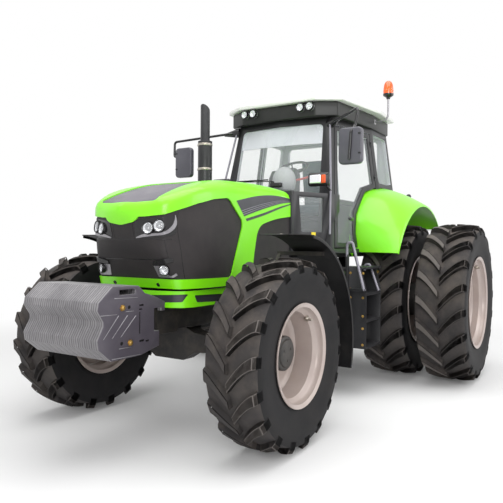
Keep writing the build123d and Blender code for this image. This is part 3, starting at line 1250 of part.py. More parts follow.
# -------------------------------------------------------------------- hitch
LINK_IN_Y = 300
LINK_H = 75
BALL_X = ahead(50 - REAR_REACH)
BALL_Y = 482
BALL_R = 50
BALL_HALF_W = 29
BALL_BORE_R = 18.5
LIFT_ARM_END_X = ahead(-660)
LIFT_ARM_END_Z = 1170
LIFT_ARM_Y = 320
LIFT_ARM_T = 36
ROD_LOW_X = ahead(-740)
ROD_HALF_T = 14
ROD_HALF_W = 22
ROD_Y = LIFT_ARM_Y + LIFT_ARM_T / 2 + 5 + ROD_HALF_T
ROD_PIN_R = 14

with BuildPart() as drawbar:
    # flat bar under the housing, with a pin hole near its rear end
    plan_outline(((ahead(-900), 28), (ahead(-870), 40), (ahead(-200), 40), (ahead(-200), -40),
                  (ahead(-870), -40), (ahead(-900), -28)), 440, 470)
    bar(ahead(-400), ahead(-340), -60, 60, 469, 520 - FIT)
    upright_pin(ahead(-860), 0, 430, 480, 16.5, Mode.SUBTRACT)
drawbar.part.label = "drawbar"
export_step(drawbar.part, "parts/drawbar.step")

PTO_END_X = ahead(-520)
PTO_STUB = 90               # free length that takes a yoke
with BuildPart() as pto_shaft:
    # free end, a neck behind it and the shouldered shaft in the housing
    long_pin(0, PTO_Z, PTO_END_X, PTO_END_X + PTO_STUB, PTO_R)
    long_pin(0, PTO_Z, PTO_END_X + PTO_STUB - MERGE, PTO_FACE_X - 4, PTO_R - 3)
    long_pin(0, PTO_Z, PTO_FACE_X - 5, ahead(-301), PTO_SHOULDER_R)
pto_shaft.part.label = "pto_shaft"
export_step(pto_shaft.part, "parts/pto_shaft.step")

with BuildPart() as lift_arms:
    cross_pin(ROCKSHAFT_X, ROCKSHAFT_Z, -LIFT_ARM_Y, LIFT_ARM_Y, ROCKSHAFT_R)
    for side, name in SIDES:
        faces = (side * (LIFT_ARM_Y - LIFT_ARM_T / 2), side * (LIFT_ARM_Y + LIFT_ARM_T / 2))
        side_outline(((ROCKSHAFT_X + 60, ROCKSHAFT_Z - 20), (ROCKSHAFT_X + 30, ROCKSHAFT_Z + 60),
                      (LIFT_ARM_END_X - 30, LIFT_ARM_END_Z + 30),
                      (LIFT_ARM_END_X - 30, LIFT_ARM_END_Z - 30),
                      (ROCKSHAFT_X - 20, ROCKSHAFT_Z - 60)), *faces)
        cross_pin(LIFT_ARM_END_X, LIFT_ARM_END_Z, side * (LIFT_ARM_Y - LIFT_ARM_T),
                  side * (LIFT_ARM_Y + LIFT_ARM_T), ROD_PIN_R + SHAFT_FIT, Mode.SUBTRACT)
lift_arms.part.label = "lift_arms"
export_step(lift_arms.part, "parts/lift_arms.step")

with BuildPart() as lift_rods:
    for side, name in SIDES:
        # pin through the arm's end, and the rod down beside the lower link
        cross_pin(LIFT_ARM_END_X, LIFT_ARM_END_Z, side * (LIFT_ARM_Y - LIFT_ARM_T / 2),
                  side * (ROD_Y + ROD_HALF_T), ROD_PIN_R)
        side_outline(((LIFT_ARM_END_X - ROD_HALF_W, LIFT_ARM_END_Z + 25),
                      (LIFT_ARM_END_X + ROD_HALF_W, LIFT_ARM_END_Z + 25),
                      (ROD_LOW_X + ROD_HALF_W, LINK_PIVOT_Z - 25),
                      (ROD_LOW_X - ROD_HALF_W, LINK_PIVOT_Z - 25)),
                     side * (ROD_Y - ROD_HALF_T), side * (ROD_Y + ROD_HALF_T))
lift_rods.part.label = "lift_rods"
export_step(lift_rods.part, "parts/lift_rods.step")

with BuildPart() as lower_links:
    for side, name in SIDES:
        outline = ((LINK_PIVOT_X + 45, side * LINK_IN_Y), (LINK_PIVOT_X + 45, side * (LINK_IN_Y + 30)),
                   (BALL_X, side * (BALL_Y + 15)), (BALL_X, side * (BALL_Y - 15)))
        plan_outline(outline, LINK_PIVOT_Z - LINK_H / 2, LINK_PIVOT_Z + LINK_H / 2)
        cross_pin(BALL_X, LINK_PIVOT_Z, side * (BALL_Y - BALL_HALF_W), side * (BALL_Y + BALL_HALF_W),
                  BALL_R)
        cross_pin(BALL_X, LINK_PIVOT_Z, side * (BALL_Y - BALL_R), side * (BALL_Y + BALL_R),
                  BALL_BORE_R, Mode.SUBTRACT)
    cross_pin(LINK_PIVOT_X, LINK_PIVOT_Z, -400, 400, LINK_PIN_R + SHAFT_FIT, Mode.SUBTRACT)
lower_links.part.label = "lower_links"
export_step(lower_links.part, "parts/lower_links.step")

with BuildPart() as top_link:
    # bracket on the housing, with the link stowed upright on its pin
    bar(ahead(-500), PTO_FACE_X - FIT, -45, 45, 900, 980)
    bar(ahead(-485), ahead(-440), -20, 20, 979, 1500)
top_link.part.label = "top_link"
export_step(top_link.part, "parts/top_link.step")
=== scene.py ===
from math import cos, degrees, exp, hypot, pi, radians, sin

import bmesh
import bpy
from bmesh import ops
from mathutils import Matrix, Vector


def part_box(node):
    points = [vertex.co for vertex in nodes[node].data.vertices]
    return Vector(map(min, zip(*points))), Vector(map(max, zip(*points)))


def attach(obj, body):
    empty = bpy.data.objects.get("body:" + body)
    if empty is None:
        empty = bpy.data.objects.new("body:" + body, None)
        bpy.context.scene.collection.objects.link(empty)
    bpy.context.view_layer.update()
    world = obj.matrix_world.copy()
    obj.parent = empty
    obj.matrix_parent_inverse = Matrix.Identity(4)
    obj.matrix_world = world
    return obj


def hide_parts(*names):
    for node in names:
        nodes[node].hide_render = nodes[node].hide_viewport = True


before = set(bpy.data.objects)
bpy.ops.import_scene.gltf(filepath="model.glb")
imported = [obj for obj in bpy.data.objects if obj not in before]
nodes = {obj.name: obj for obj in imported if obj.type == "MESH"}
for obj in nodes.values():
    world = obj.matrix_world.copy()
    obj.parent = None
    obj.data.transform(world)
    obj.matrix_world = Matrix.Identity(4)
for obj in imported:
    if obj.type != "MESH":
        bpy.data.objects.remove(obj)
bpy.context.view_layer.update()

SIDES = (("left", 1), ("right", -1))


# ---- the studio ----
# A plain white floor with soft light from a wide ceiling panel and two side
# panels. The tractor stands on it, seen from ahead on its left side.
def wire(tree, node, sockets, out=0, **settings):
    """Set up a shader node, each socket with a value or what feeds it, and give one output."""
    if isinstance(node, str):
        node = tree.nodes.new("ShaderNode" + node)
    for setting, value in settings.items():
        setattr(node, setting, value)
    for socket, given in sockets.items():
        if isinstance(given, bpy.types.NodeSocket):
            tree.links.new(given, node.inputs[socket])
        else:
            node.inputs[socket].default_value = given
    return node.outputs[out] if node.outputs else None


def seen(tree):
    """One where the camera looks, straight, in a mirror or through glass, and nought for light."""
    rays = tree.nodes.new("ShaderNodeLightPath").outputs
    mirrored = wire(tree, "Math", {0: rays["Is Camera Ray"], 1: rays["Is Glossy Ray"]},
        operation="MAXIMUM")
    return wire(tree, "Math", {0: mirrored, 1: rays["Is Transmission Ray"]}, operation="MAXIMUM")


def blank_finish(name):
    """A new material, its node tree, its shader and the object's own coordinates."""
    made = bpy.data.materials.new(name)
    made.use_nodes = True
    tree = made.node_tree
    place = tree.nodes.new("ShaderNodeTexCoord").outputs["Object"]
    return made, tree, tree.nodes["Principled BSDF"], place


def stand(name, data):
    """Stand a new object in the scene."""
    thing = bpy.data.objects.new(name, data)
    bpy.context.scene.collection.objects.link(thing)
    return thing


def stand_net(name, net):
    """Stand a net in the scene as an object, and let the net go."""
    mesh = bpy.data.meshes.new(name)
    net.to_mesh(mesh)
    net.free()
    return stand(name, mesh)


net = bmesh.new()
ops.create_grid(net, x_segments=1, y_segments=1, size=60)
floor = stand_net("studio_floor", net)
floor_finish, tree, shader, place = blank_finish("studio_floor")
white = wire(tree, shader, {"Base Color": (0.86, 0.86, 0.86, 1), "Roughness": 0.9,
    "Specular IOR Level": 0.1})
# what the camera sees of the floor fades to white between 3 and 7.5 m out
far_out = wire(tree, "VectorMath", {0: place}, "Value", operation="LENGTH")
fade = wire(tree, "MapRange", {"Value": far_out, "From Min": 3.0, "From Max": 7.5, "To Min": 0.06,
    "To Max": 1.0}, interpolation_type="SMOOTHSTEP")
share = wire(tree, "Math", {0: seen(tree), 1: fade}, operation="MULTIPLY")
glow = wire(tree, "Emission", {"Strength": 1.0})
wire(tree, tree.nodes["Material Output"], {"Surface": wire(tree, "MixShader",
    {0: share, 1: white, 2: glow})})
floor.data.materials.append(floor_finish)

world = bpy.data.worlds.new("studio")
world.use_nodes = True
bpy.context.scene.world = world
tree = world.node_tree
strength = wire(tree, "MapRange", {"Value": seen(tree), "To Min": 0.52, "To Max": 1.0})
wire(tree, tree.nodes["Background"], {"Color": (1, 1, 1, 1), "Strength": strength})

PANELS = (
    # name, place, aim, width, height, watts
    ("ceiling_panel", (1.5, 1.0, 8.0), (0, 0, 1), 9.0, 7.0, 560),
    ("front_panel", (8.5, 5.5, 4.2), (0.5, 0, 1.2), 5.0, 4.0, 360),
    ("left_panel", (-3.5, 8.5, 4.5), (-0.5, 0, 1.2), 6.0, 4.0, 240),
)
for name, place, aim, width, height, watts in PANELS:
    lamp = bpy.data.lights.new(name, "AREA")
    lamp.shape = "RECTANGLE"
    lamp.size, lamp.size_y, lamp.energy = width, height, watts
    panel = stand(name, lamp)
    panel.location = place
    panel.rotation_euler = (Vector(aim) - Vector(place)).to_track_quat("-Z", "Y").to_euler()

lens = bpy.data.cameras.new("camera")
lens.sensor_width, lens.lens, lens.clip_end = 36, 40.59, 200
camera = stand("camera", lens)
yaw, pitch, roll = 3.706, -0.014, 0.007
forward = Vector((cos(pitch) * cos(yaw), cos(pitch) * sin(yaw), sin(pitch)))
level = forward.cross(Vector((0, 0, 1))).normalized()
upright = level.cross(forward)
right = cos(roll) * level + sin(roll) * upright
up = -sin(roll) * level + cos(roll) * upright
facing = Matrix((right, up, -forward)).transposed().to_4x4()
camera.matrix_world = Matrix.Translation((5.203, 3.087, 1.522)) @ facing
bpy.context.scene.camera = camera
bpy.context.scene.view_settings.view_transform = "Standard"


# ---- tyres ----
# Six cleated rubber tyres, moulded in one with their bars. Each bar curves
# back from the centre line and wraps over the shoulder.
REAR_AXLE = (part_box("rear_rims_left")[0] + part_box("rear_rims_left")[1]) / 2
FRONT_AXLE = (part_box("front_rim_left")[0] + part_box("front_rim_left")[1]) / 2


def mixed(tree, share, first, second):
    """The colour between two, at a share."""
    return wire(tree, "Mix", {"Factor": share, "A": first, "B": second}, "Result", data_type="RGBA")


def finish(name, tone, second, rough, blotch, grain, bump, metal=0.0, coat=0.0, dust=None, sheen=0.0,
        gloss=0.5):
    """A finish of two tones in blotches, with a grain, a bump, and dust on what faces up.

    Rough is (least, most), blotch and grain are scales, and dust is a colour and its share.
    """
    made, tree, shader, place = blank_finish(name)
    clouds = wire(tree, "TexNoise", {"Vector": place, "Scale": blotch, "Detail": 6})
    spread = wire(tree, "MapRange", {"Value": clouds, "From Min": 0.38, "From Max": 0.66})
    colour = mixed(tree, spread, (*tone, 1), (*second, 1))
    if dust:
        normal = tree.nodes.new("ShaderNodeNewGeometry").outputs["Normal"]
        lift = wire(tree, "MapRange", {"Value": wire(tree, "SeparateXYZ", {0: normal}, "Z"),
            "From Min": -0.6, "From Max": 1.0, "To Min": 0.25})
        drift = wire(tree, "TexNoise", {"Vector": place, "Scale": blotch * 2.3, "Detail": 8,
            "Roughness": 0.65})
        patch = wire(tree, "MapRange", {"Value": drift, "From Min": 0.42, "From Max": 0.72,
            "To Max": dust[3]})
        settled = wire(tree, "Math", {0: lift, 1: patch}, operation="MULTIPLY")
        colour = mixed(tree, settled, colour, (*dust[:3], 1))
    speck = wire(tree, "TexNoise", {"Vector": place, "Scale": grain, "Detail": 3})
    relief = wire(tree, "Bump", {"Strength": bump, "Distance": 0.002, "Height": speck})
    polish = wire(tree, "MapRange", {"Value": clouds, "To Min": rough[0], "To Max": rough[1]})
    wire(tree, shader, {"Base Color": colour, "Roughness": polish, "Normal": relief, "Metallic": metal,
        "Specular IOR Level": gloss, "Coat Weight": coat, "Coat Roughness": 0.08,
        "Sheen Weight": sheen})
    return made


def settle(name, net, finishes, body="root", stands_for=(), crease=35):
    """Turn a net into a shaded piece that rides on a body."""
    piece = stand_net(name, net)
    for material in finishes if isinstance(finishes, list) else [finishes]:
        piece.data.materials.append(material)
    for face in piece.data.polygons:
        face.use_smooth = True
    piece.data.set_sharp_from_angle(angle=radians(crease))
    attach(piece, body)
    if stands_for:
        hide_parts(*stands_for)
    return piece


def weld(net, within=1e-5):
    """Join corners that coincide, and turn every face outward."""
    ops.remove_doubles(net, verts=net.verts, dist=within)
    ops.recalc_face_normals(net, faces=net.faces)


def bevel(net, parts, width, segments=2, kind="EDGES"):
    """Round off edges or corners."""
    ops.bevel(net, geom=parts, offset=width, offset_type="OFFSET", affect=kind, segments=segments,
        profile=0.5, material=-1, clamp_overlap=True)


def absorb(net, part):
    """Add a finished part to a net."""
    mesh = bpy.data.meshes.new("part")
    part.to_mesh(mesh)
    part.free()
    net.from_mesh(mesh)
    bpy.data.meshes.remove(mesh)


def only_verts(parts):
    """The corners among a mixed lot of net parts."""
    return [part for part in parts if isinstance(part, bmesh.types.BMVert)]


def whole(net):
    """All the corners, edges and faces of a net."""
    return [*net.verts, *net.edges, *net.faces]


def edges_at(verts):
    """The edges that meet at some corners."""
    return {e for v in verts for e in v.link_edges}


def spin(net, points, centre, axis, steps, closed=False):
    """Spin a line of points, or a closed loop, once round an axis."""
    corners = [net.verts.new(point) for point in points]
    edges = [net.edges.new(pair) for pair in zip(corners, corners[1:] + corners[:closed])]
    ops.spin(net, geom=corners + edges, cent=centre, axis=axis, dvec=(0, 0, 0), angle=2 * pi,
        steps=steps, use_merge=True, use_duplicate=False)
    weld(net)


def turned(net, outline, centre, steps=96, closed=True):
    """Spin an outline of (y, radius) points round a wheel's axle."""
    points = [(centre.x, centre.y + y, centre.z + radius) for y, radius in outline]
    spin(net, points, centre, (0, 1, 0), steps, closed)


FRONT_Y, INNER_Y, OUTER_Y = 1.01, 0.97, 1.61      # how far out the wheels' middles stand
TYRES = (
    # name, body, axle, centre Y, radius, half width, bead radius, bars a side, bar height, node
    ("tyre_front", "front_wheel", FRONT_AXLE, FRONT_Y, 0.71, 0.215, 0.362, 18, 0.044, "front_tyre"),
    ("tyre_rear_inner", "rear_wheel", REAR_AXLE, INNER_Y, 0.88, 0.26, 0.492, 20, 0.05, "rear_tyres"),
    ("tyre_rear_outer", "rear_wheel", REAR_AXLE, OUTER_Y, 0.88, 0.26, 0.492, 20, 0.05, "rear_tyres"),
)
RUBBER = finish("tyre_rubber", (0.032, 0.029, 0.03), (0.053, 0.048, 0.045), (0.62, 0.85), 2.2, 140,
    0.25, dust=(0.22, 0.18, 0.15, 0.45), gloss=0.3)
WORN = finish("tyre_bar_tips", (0.092, 0.082, 0.077), (0.13, 0.115, 0.105), (0.6, 0.82), 5, 150, 0.3,
    dust=(0.24, 0.2, 0.17, 0.35))
SIDEWALL = finish("tyre_sidewall", (0.009, 0.009, 0.01), (0.016, 0.015, 0.016), (0.55, 0.75), 2.6, 160,
    0.15, dust=(0.13, 0.11, 0.095, 0.1), gloss=0.2)


def crown(share, radius):
    """Radius of the bars' tips at a share of the half width."""
    return radius * (1 - 0.033 * share ** 2.2)


SHOULDER_AT = 0.84          # share of a bar's length where it turns over the shoulder
BAR_REACH = 0.93            # share of the tyre's half width that it has covered by then


def bar_place(along, across, height, radius, half, bar_h, sweep):
    """Where a point of a bar lies: (y, radius, degrees round)."""
    over = max(0.0, (along - SHOULDER_AT) / (1 - SHOULDER_AT))
    share = min(1.0, along / SHOULDER_AT) * BAR_REACH
    tip = crown(share, radius)
    floor_r = tip - bar_h
    y = share * half + over * 0.068 * half
    tip_r = tip - over * 0.1 * radius
    root_r = floor_r - over * 0.055 * radius - 0.006
    thick = 0.033 + 0.011 * along
    round_deg = -sweep * (1 - max(0.0, 1 - share / BAR_REACH) ** 1.45)
    r = root_r + (tip_r - root_r) * height
    flare = 0.011 * (1 - height)
    pull = over * (1 - height) * 0.02 * half
    return y - pull, r, round_deg + degrees(across * (thick + flare) / radius)


def tyre_net(axle, y, radius, half, bead, bars, bar_h, sweep=15.0):
    """One bar shaped and repeated round each side, with the carcass spun under them."""
    net = bmesh.new()
    centre = Vector((axle.x, y, axle.z))
    for side in (1, -1):
        cube = ops.create_cube(net, size=2)["verts"]
        lengthways = [e for e in edges_at(cube) if abs(e.verts[0].co.x - e.verts[1].co.x) > 1]
        ops.subdivide_edges(net, edges=lengthways, cuts=9, use_grid_fill=True)
        for v in (v for v in net.verts if not v.tag):
            along, across, height = (v.co.x + 1) / 2, v.co.y, (v.co.z + 1) / 2
            at, r, turn = bar_place(along, across, height, radius, half, bar_h, sweep)
            angle = radians(turn + (0 if side > 0 else 180 / bars))
            v.co = centre + Vector((-r * sin(angle), side * at, -r * cos(angle)))
        faces = [f for f in net.faces if not f.tag]
        ops.recalc_face_normals(net, faces=faces)
        rims = [e for e in {e for f in faces for e in f.edges} if e.calc_face_angle(0) > 0.7]
        bevel(net, rims, 0.004)
        bar = [part for part in whole(net) if not part.tag]
        for number in range(1, bars):
            copy = ops.duplicate(net, geom=bar)["geom"]
            ops.rotate(net, verts=only_verts(copy), cent=centre,
                matrix=Matrix.Rotation(number * 2 * pi / bars, 3, "Y"))
        for part in whole(net):
            part.tag = True
    tread = radius - bar_h
    outline = [(0, tread), (0.45, tread - 0.005 * radius), (0.8, tread - 0.018 * radius),
        (0.9, tread - 0.026 * radius), (0.96, 0.905 * radius), (0.982, 0.87 * radius),
        (0.985, 0.81 * radius), (0.97, 0.755 * radius), (0.925, 0.7 * radius), (0.885, bead + 0.055),
        (0.885, bead + 0.044), (0.87, bead + 0.036), (0.86, bead + 0.012), (0.83, bead + 0.001)]
    one_side = [(share * half, r) for share, r in outline]
    section = one_side + [(-at, r) for at, r in reversed(one_side[1:])]
    carcass = bmesh.new()
    turned(carcass, section, centre, 120)
    absorb(net, carcass)
    return net


for kind, body, axle, centre_y, radius, half, bead, bars, bar_h, node in TYRES:
    for side, sign in SIDES:
        net = tyre_net(axle, sign * centre_y, radius, half, bead, bars, bar_h)
        for face in net.faces:
            middle = face.calc_center_median()
            out = hypot(middle.x - axle.x, middle.z - axle.z)
            share = min(1.0, abs(middle.y - sign * centre_y) / half)
            away = (middle - axle).normalized()
            worn = out > crown(share, radius) - 0.4 * bar_h and face.normal.dot(away) > 0.6
            face.material_index = 2 if worn else (1 if out < 0.905 * radius else 0)
        settle(f"{kind}_{side}", net, [RUBBER, SIDEWALL, WORN], f"{body}_{side}",
            (f"{node}_{side}",))


# ---- rims ----
# Rolled steel rims welded to pressed discs, painted a warm silver. The front
# discs sit deep behind the planetary hub, the rear ones carry a dual spacer.
RIM = finish("rim_silver", (0.42, 0.35, 0.325), (0.49, 0.42, 0.39), (0.34, 0.48), 2.5, 300, 0.1,
    metal=0.2, coat=0.15, dust=(0.4, 0.31, 0.25, 0.35))
HUB = finish("hub_paint", (0.02, 0.019, 0.018), (0.032, 0.03, 0.028), (0.42, 0.6), 6, 180, 0.3,
    dust=(0.14, 0.115, 0.095, 0.45))
BOLT = finish("zinc_bolt", (0.46, 0.43, 0.38), (0.36, 0.32, 0.27), (0.28, 0.45), 25, 300, 0.1,
    metal=0.85)


def aimed(foot, way):
    """The place of a part that stands on a foot with its own Z along a way."""
    return Matrix.Translation(foot) @ Vector(way).to_track_quat("Z", "Y").to_matrix().to_4x4()


def round_bar(net, start, end, radius, corner=0.0, sides=32, tip=None):
    """A round bar between two points, its end edges rounded off."""
    start, end = Vector(start), Vector(end)
    axis = end - start
    made = ops.create_cone(net, cap_ends=True, segments=sides, radius1=radius,
        radius2=radius if tip is None else tip, depth=axis.length,
        matrix=aimed((start + end) / 2, axis))["verts"]
    if corner:
        bevel(net, [e for e in edges_at(made) if any(len(f.verts) > 4 for f in e.link_faces)], corner)


def round_axle(axle, y, ring, angle):
    """The point at an angle on a ring round a wheel's axle."""
    return Vector((axle.x + ring * cos(angle), y, axle.z + ring * sin(angle)))


def bolt_ring(net, centre, side, y, ring, count, radius, height):
    """Hexagon heads on washers round an axle, on the outboard face."""
    for number in range(count):
        foot = round_axle(centre, y, ring, number * 2 * pi / count)
        out = Vector((0, side, 0))
        round_bar(net, foot - out * 0.004, foot + out * 0.003, radius * 1.35, 0.001, 16)
        round_bar(net, foot, foot + out * height, radius, 0.0015, 6)


def rim_valve(net, centre, side, at, ring, angle):
    """An air and water valve on its boss, inside the outboard edge of the rim's well."""
    foot = round_axle(centre, centre.y + side * at, ring, angle)
    inward = Vector((-cos(angle), 0, -sin(angle)))
    round_bar(net, foot, foot + inward * 0.03, 0.021, 0.003, 16)
    round_bar(net, foot + inward * 0.018, foot + inward * 0.026 + Vector((0, side * 0.05, 0)), 0.009,
        0.001, 12)


def rim_net(axle, side, y, seat, half, disc_y, well, hub):
    """Spin the rim's section: flanges, bead seats, humps, well, and the dished disc."""
    edge = 0.86 * half + 0.006
    wall = 0.009
    half_out = [(edge + 0.012, seat + 0.02), (edge + 0.007, seat + 0.0215),
        (edge + 0.001, seat + 0.016), (edge, seat - 0.001), (edge - 0.04, seat - 0.002),
        (edge - 0.052, seat - 0.01), (edge - 0.075, well + wall)]
    outside = half_out + [(0.02, well + wall)] + [(-at, r) for at, r in reversed(half_out)]
    inside = [(at, r - wall) for at, r in reversed(outside[3:12])]
    section = outside + [(-edge - 0.009, seat + 0.012)] + inside + [(edge + 0.009, seat + 0.012)]
    net = bmesh.new()
    centre = Vector((axle.x, y, axle.z))
    turned(net, [(side * at, r) for at, r in section], centre)
    dish = [(disc_y + 0.03, well - 0.003), (disc_y + 0.014, well - 0.018), (disc_y, well - 0.05),
        (disc_y - 0.004, hub + 0.055), (disc_y - 0.01, hub + 0.03), (disc_y - 0.01, hub),
        (disc_y - 0.022, hub), (disc_y - 0.022, hub + 0.034), (disc_y - 0.016, hub + 0.06),
        (disc_y - 0.012, well - 0.054), (disc_y + 0.002, well - 0.026), (disc_y + 0.02, well - 0.003)]
    turned(net, [(side * at, r) for at, r in dish], centre)
    return net


for side, sign in SIDES:
    # front: drum of the planetary hub stands out through a deep barrel
    net = rim_net(FRONT_AXLE, sign, sign * FRONT_Y, 0.362, 0.215, -0.06, 0.318, 0.128)
    settle(f"rim_front_{side}", net, RIM, f"front_wheel_{side}", (f"front_rim_{side}",))
    net = bmesh.new()
    hub_centre = Vector((FRONT_AXLE.x, sign * FRONT_Y, FRONT_AXLE.z))
    drum = [(-0.16, 0.0), (-0.16, 0.118), (-0.082, 0.126), (0.04, 0.131), (0.052, 0.128), (0.058, 0.12),
        (0.06, 0.106), (0.068, 0.102), (0.072, 0.096), (0.072, 0.0)]
    turned(net, [(sign * at, r) for at, r in drum], hub_centre, 64, False)
    for number in range(3):
        plug = round_axle(hub_centre, sign * (FRONT_Y + 0.07), 0.055, number * 2 * pi / 3 + 0.5)
        round_bar(net, plug, plug + Vector((0, sign * 0.006, 0)), 0.011, 0.001, 6)
    settle(f"hub_front_{side}", net, HUB, f"front_wheel_{side}")
    net = bmesh.new()
    bolt_ring(net, hub_centre, sign, sign * (FRONT_Y - 0.07), 0.16, 10, 0.013, 0.016)
    rim_valve(net, hub_centre, sign, 0.122, 0.331, 2.26)
    settle(f"rim_bolts_front_{side}", net, BOLT, f"front_wheel_{side}")

    # rear: two rims on one hub, held apart by a bolted spacer drum
    for pair, y in (("inner", INNER_Y), ("outer", OUTER_Y)):
        net = rim_net(REAR_AXLE, sign, sign * y, 0.492, 0.26, 0.06, 0.448, 0.15)
        settle(f"rim_rear_{pair}_{side}", net, RIM, f"rear_wheel_{side}",
            (f"rear_rims_{side}",))
    net = bmesh.new()
    hub_centre = Vector((REAR_AXLE.x, 0, REAR_AXLE.z))
    drum = [(0.815, 0.0), (0.815, 0.148), (1.02, 0.148), (1.022, 0.19), (1.04, 0.208), (1.058, 0.208),
        (1.062, 0.192), (1.61, 0.192), (1.616, 0.208), (1.638, 0.208), (1.64, 0.168), (1.676, 0.166),
        (1.688, 0.15), (1.69, 0.0)]
    turned(net, [(sign * at, r) for at, r in drum], hub_centre, 72, False)
    settle(f"hub_rear_{side}", net, HUB, f"rear_wheel_{side}")
    net = bmesh.new()
    bolt_ring(net, hub_centre, sign, sign * 1.66, 0.187, 10, 0.014, 0.018)
    bolt_ring(net, hub_centre, sign, sign * 1.02, 0.232, 10, 0.013, 0.016)
    rim_valve(net, hub_centre, sign, OUTER_Y + 0.16, 0.461, 2.1)
    settle(f"rim_bolts_rear_{side}", net, BOLT, f"rear_wheel_{side}")


# ---- chassis ----
# Black painted castings and forgings: rails, engine, gearbox, axles, steering
# and hitch. Their cast edges are rounded and road dust lies on what faces up.
CHASSIS = finish("chassis_black", (0.018, 0.017, 0.017), (0.03, 0.028, 0.027), (0.45, 0.65), 4, 120,
    0.35, dust=(0.16, 0.13, 0.1, 0.4), gloss=0.3)
STEEL = finish("machined_steel", (0.5, 0.5, 0.5), (0.4, 0.39, 0.38), (0.28, 0.42), 8, 260, 0.12,
    metal=0.9)


def merged_copy(node):
    """A net copied from a CAD node, with its flat faces whole again."""
    net = bmesh.new()
    net.from_mesh(nodes[node].data)
    ops.remove_doubles(net, verts=net.verts, dist=2e-5)
    ops.dissolve_limit(net, angle_limit=radians(0.4), use_dissolve_boundaries=False, verts=net.verts,
        edges=net.edges)
    return net


def round_edges(net, width, segments=2, above=24):
    """Round off the edges that are sharper than an angle."""
    sharp = [e for e in net.edges if e.is_manifold and e.calc_face_angle(0) > radians(above)]
    bevel(net, sharp, width, segments)


def soften(node, width, finishes, body="root", segments=2, above=24):
    """Stand a copy with rounded edges in for a CAD node."""
    net = merged_copy(node)
    round_edges(net, width, segments, above)
    return settle(f"{node}_cast", net, finishes, body, (node,))


for node, width in (("weight_carrier", 0.006), ("front_frame", 0.005), ("engine_block", 0.008),
        ("radiator_pack", 0.006), ("transmission_housing", 0.01), ("drawbar", 0.004),
        ("top_link", 0.005)):
    soften(node, width, CHASSIS, "root")


def dress(material, *names):
    """Give CAD nodes that keep their own shape their finish."""
    for name in names:
        for place in nodes[name].material_slots:
            place.material = material


dress(CHASSIS, "rear_axle_housings", "front_axle", "knuckle_left", "knuckle_right", "steering_barrel",
    "tie_rod", "lift_arms", "lift_rods", "lower_links")
dress(STEEL, "drive_shaft", "steering_rod", "pto_shaft")


# ---- hood ----
# One-piece moulded hood in gloss green lacquer, hinged at its rear. It is a
# thin shell with cut-outs for the grilles; a charcoal liner lies behind them.
GREEN = finish("hood_green", (0.235, 0.84, 0.006), (0.205, 0.78, 0.005), (0.3, 0.4), 1.2, 900, 0.02,
    coat=0.25, dust=(0.5, 0.66, 0.3, 0.05))
CHARCOAL = finish("grille_charcoal", (0.024, 0.022, 0.023), (0.034, 0.03, 0.031), (0.5, 0.64), 2, 420,
    0.3, dust=(0.22, 0.19, 0.17, 0.12), gloss=0.25)
TRIM = finish("gloss_black_trim", (0.01, 0.01, 0.011), (0.016, 0.015, 0.016), (0.2, 0.3), 4, 400, 0.05,
    coat=0.3, gloss=0.35)
HOOD_LOW_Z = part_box("hood_shell")[0].z
HOOD_BACK_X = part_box("hood_shell")[0].x
NOSE_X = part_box("hood_shell")[1].x
FAN_X = 1.55                # the hood's outline turns round this station into the nose


def arc_through(first, middle, last):
    """Centre and radius of the circle through three points."""
    a, b, c = complex(*first), complex(*middle), complex(*last)
    w = (c - a) / (b - a)
    centre = a - (a - b) * (w - abs(w) ** 2) / 2j / w.imag
    return centre.real, centre.imag, abs(a - centre)


def beyond(arc, a, b):
    """How far a point lies outside an arc."""
    return hypot(a - arc[0], b - arc[1]) - arc[2]


BEND_X, CORNER_X, CREST_X = 1.375, 2.075, 1.135      # the sides bend in, meet the nose; the top falls
CHEEK = arc_through((BEND_X, 0.495), (1.855, 0.458), (CORNER_X, 0.36))
ROOF = arc_through((0.305, 2.044), (0.725, 2.088), (CREST_X, 2.072))
BROW = arc_through((CREST_X, 2.072), (1.661, 1.996), (NOSE_X, 1.795))
SHOULDER = arc_through((0.495, 1.85), (0.44, 2.005), (0.25, 2.088))


def outside_by(x, y, z):
    """How far a point lies outside the hood's form, its creases rounded."""
    y = abs(y)
    if x < BEND_X:
        plan = y - (0.47 + 0.025 * (x - 0.305) / 1.07)
    elif x < CORNER_X and y > CHEEK[1]:
        plan = beyond(CHEEK, x, y)
    else:
        plan = ((x - CORNER_X) * 0.3 + (y - 0.36) * 0.112) / hypot(0.3, 0.112)
    # the nose is two planes, each slope divided by its own length
    if z > 1.5:
        nose = ((x - NOSE_X) * 0.295 - (z - 1.795) * 0.072) / 0.3037
    else:
        nose = ((x - 2.115) * 0.32 - (z - 1.5) * 0.14) / 0.3493
    top = beyond(ROOF if x < CREST_X else BROW, x, z)
    arch = beyond(SHOULDER, y, z) if z > 1.85 and y > 0.25 else max(y - 0.495, z - 2.088)
    worst = plan
    for wall, ease in ((arch, 0.05), (top, 0.07), (nose, 0.035)):
        near = max(ease - abs(worst - wall), 0) / ease
        worst = max(worst, wall) + near * near * ease / 4
    return worst


def reach(origin, way, depth):
    """Where a ray from inside meets the hood's form, this deep under its surface, by halving."""
    near, far = 0.0, 1.2
    for _ in range(26):
        middle = (near + far) / 2
        if outside_by(*(origin + way * middle)) < -depth:
            near = middle
        else:
            far = middle
    return origin + way * near


def face_along(net, way):
    """Turn the faces so that the farthest one along a way looks that way."""
    ops.recalc_face_normals(net, faces=net.faces)
    way = Vector(way)
    if max(net.faces, key=lambda f: f.calc_center_median().dot(way)).normal.dot(way) < 0:
        ops.reverse_faces(net, faces=net.faces)


def grid(columns, rows):
    """A flat sheet with sides of one, cut into cells."""
    net = bmesh.new()
    ops.create_grid(net, x_segments=columns, y_segments=rows, size=0.5)
    return net


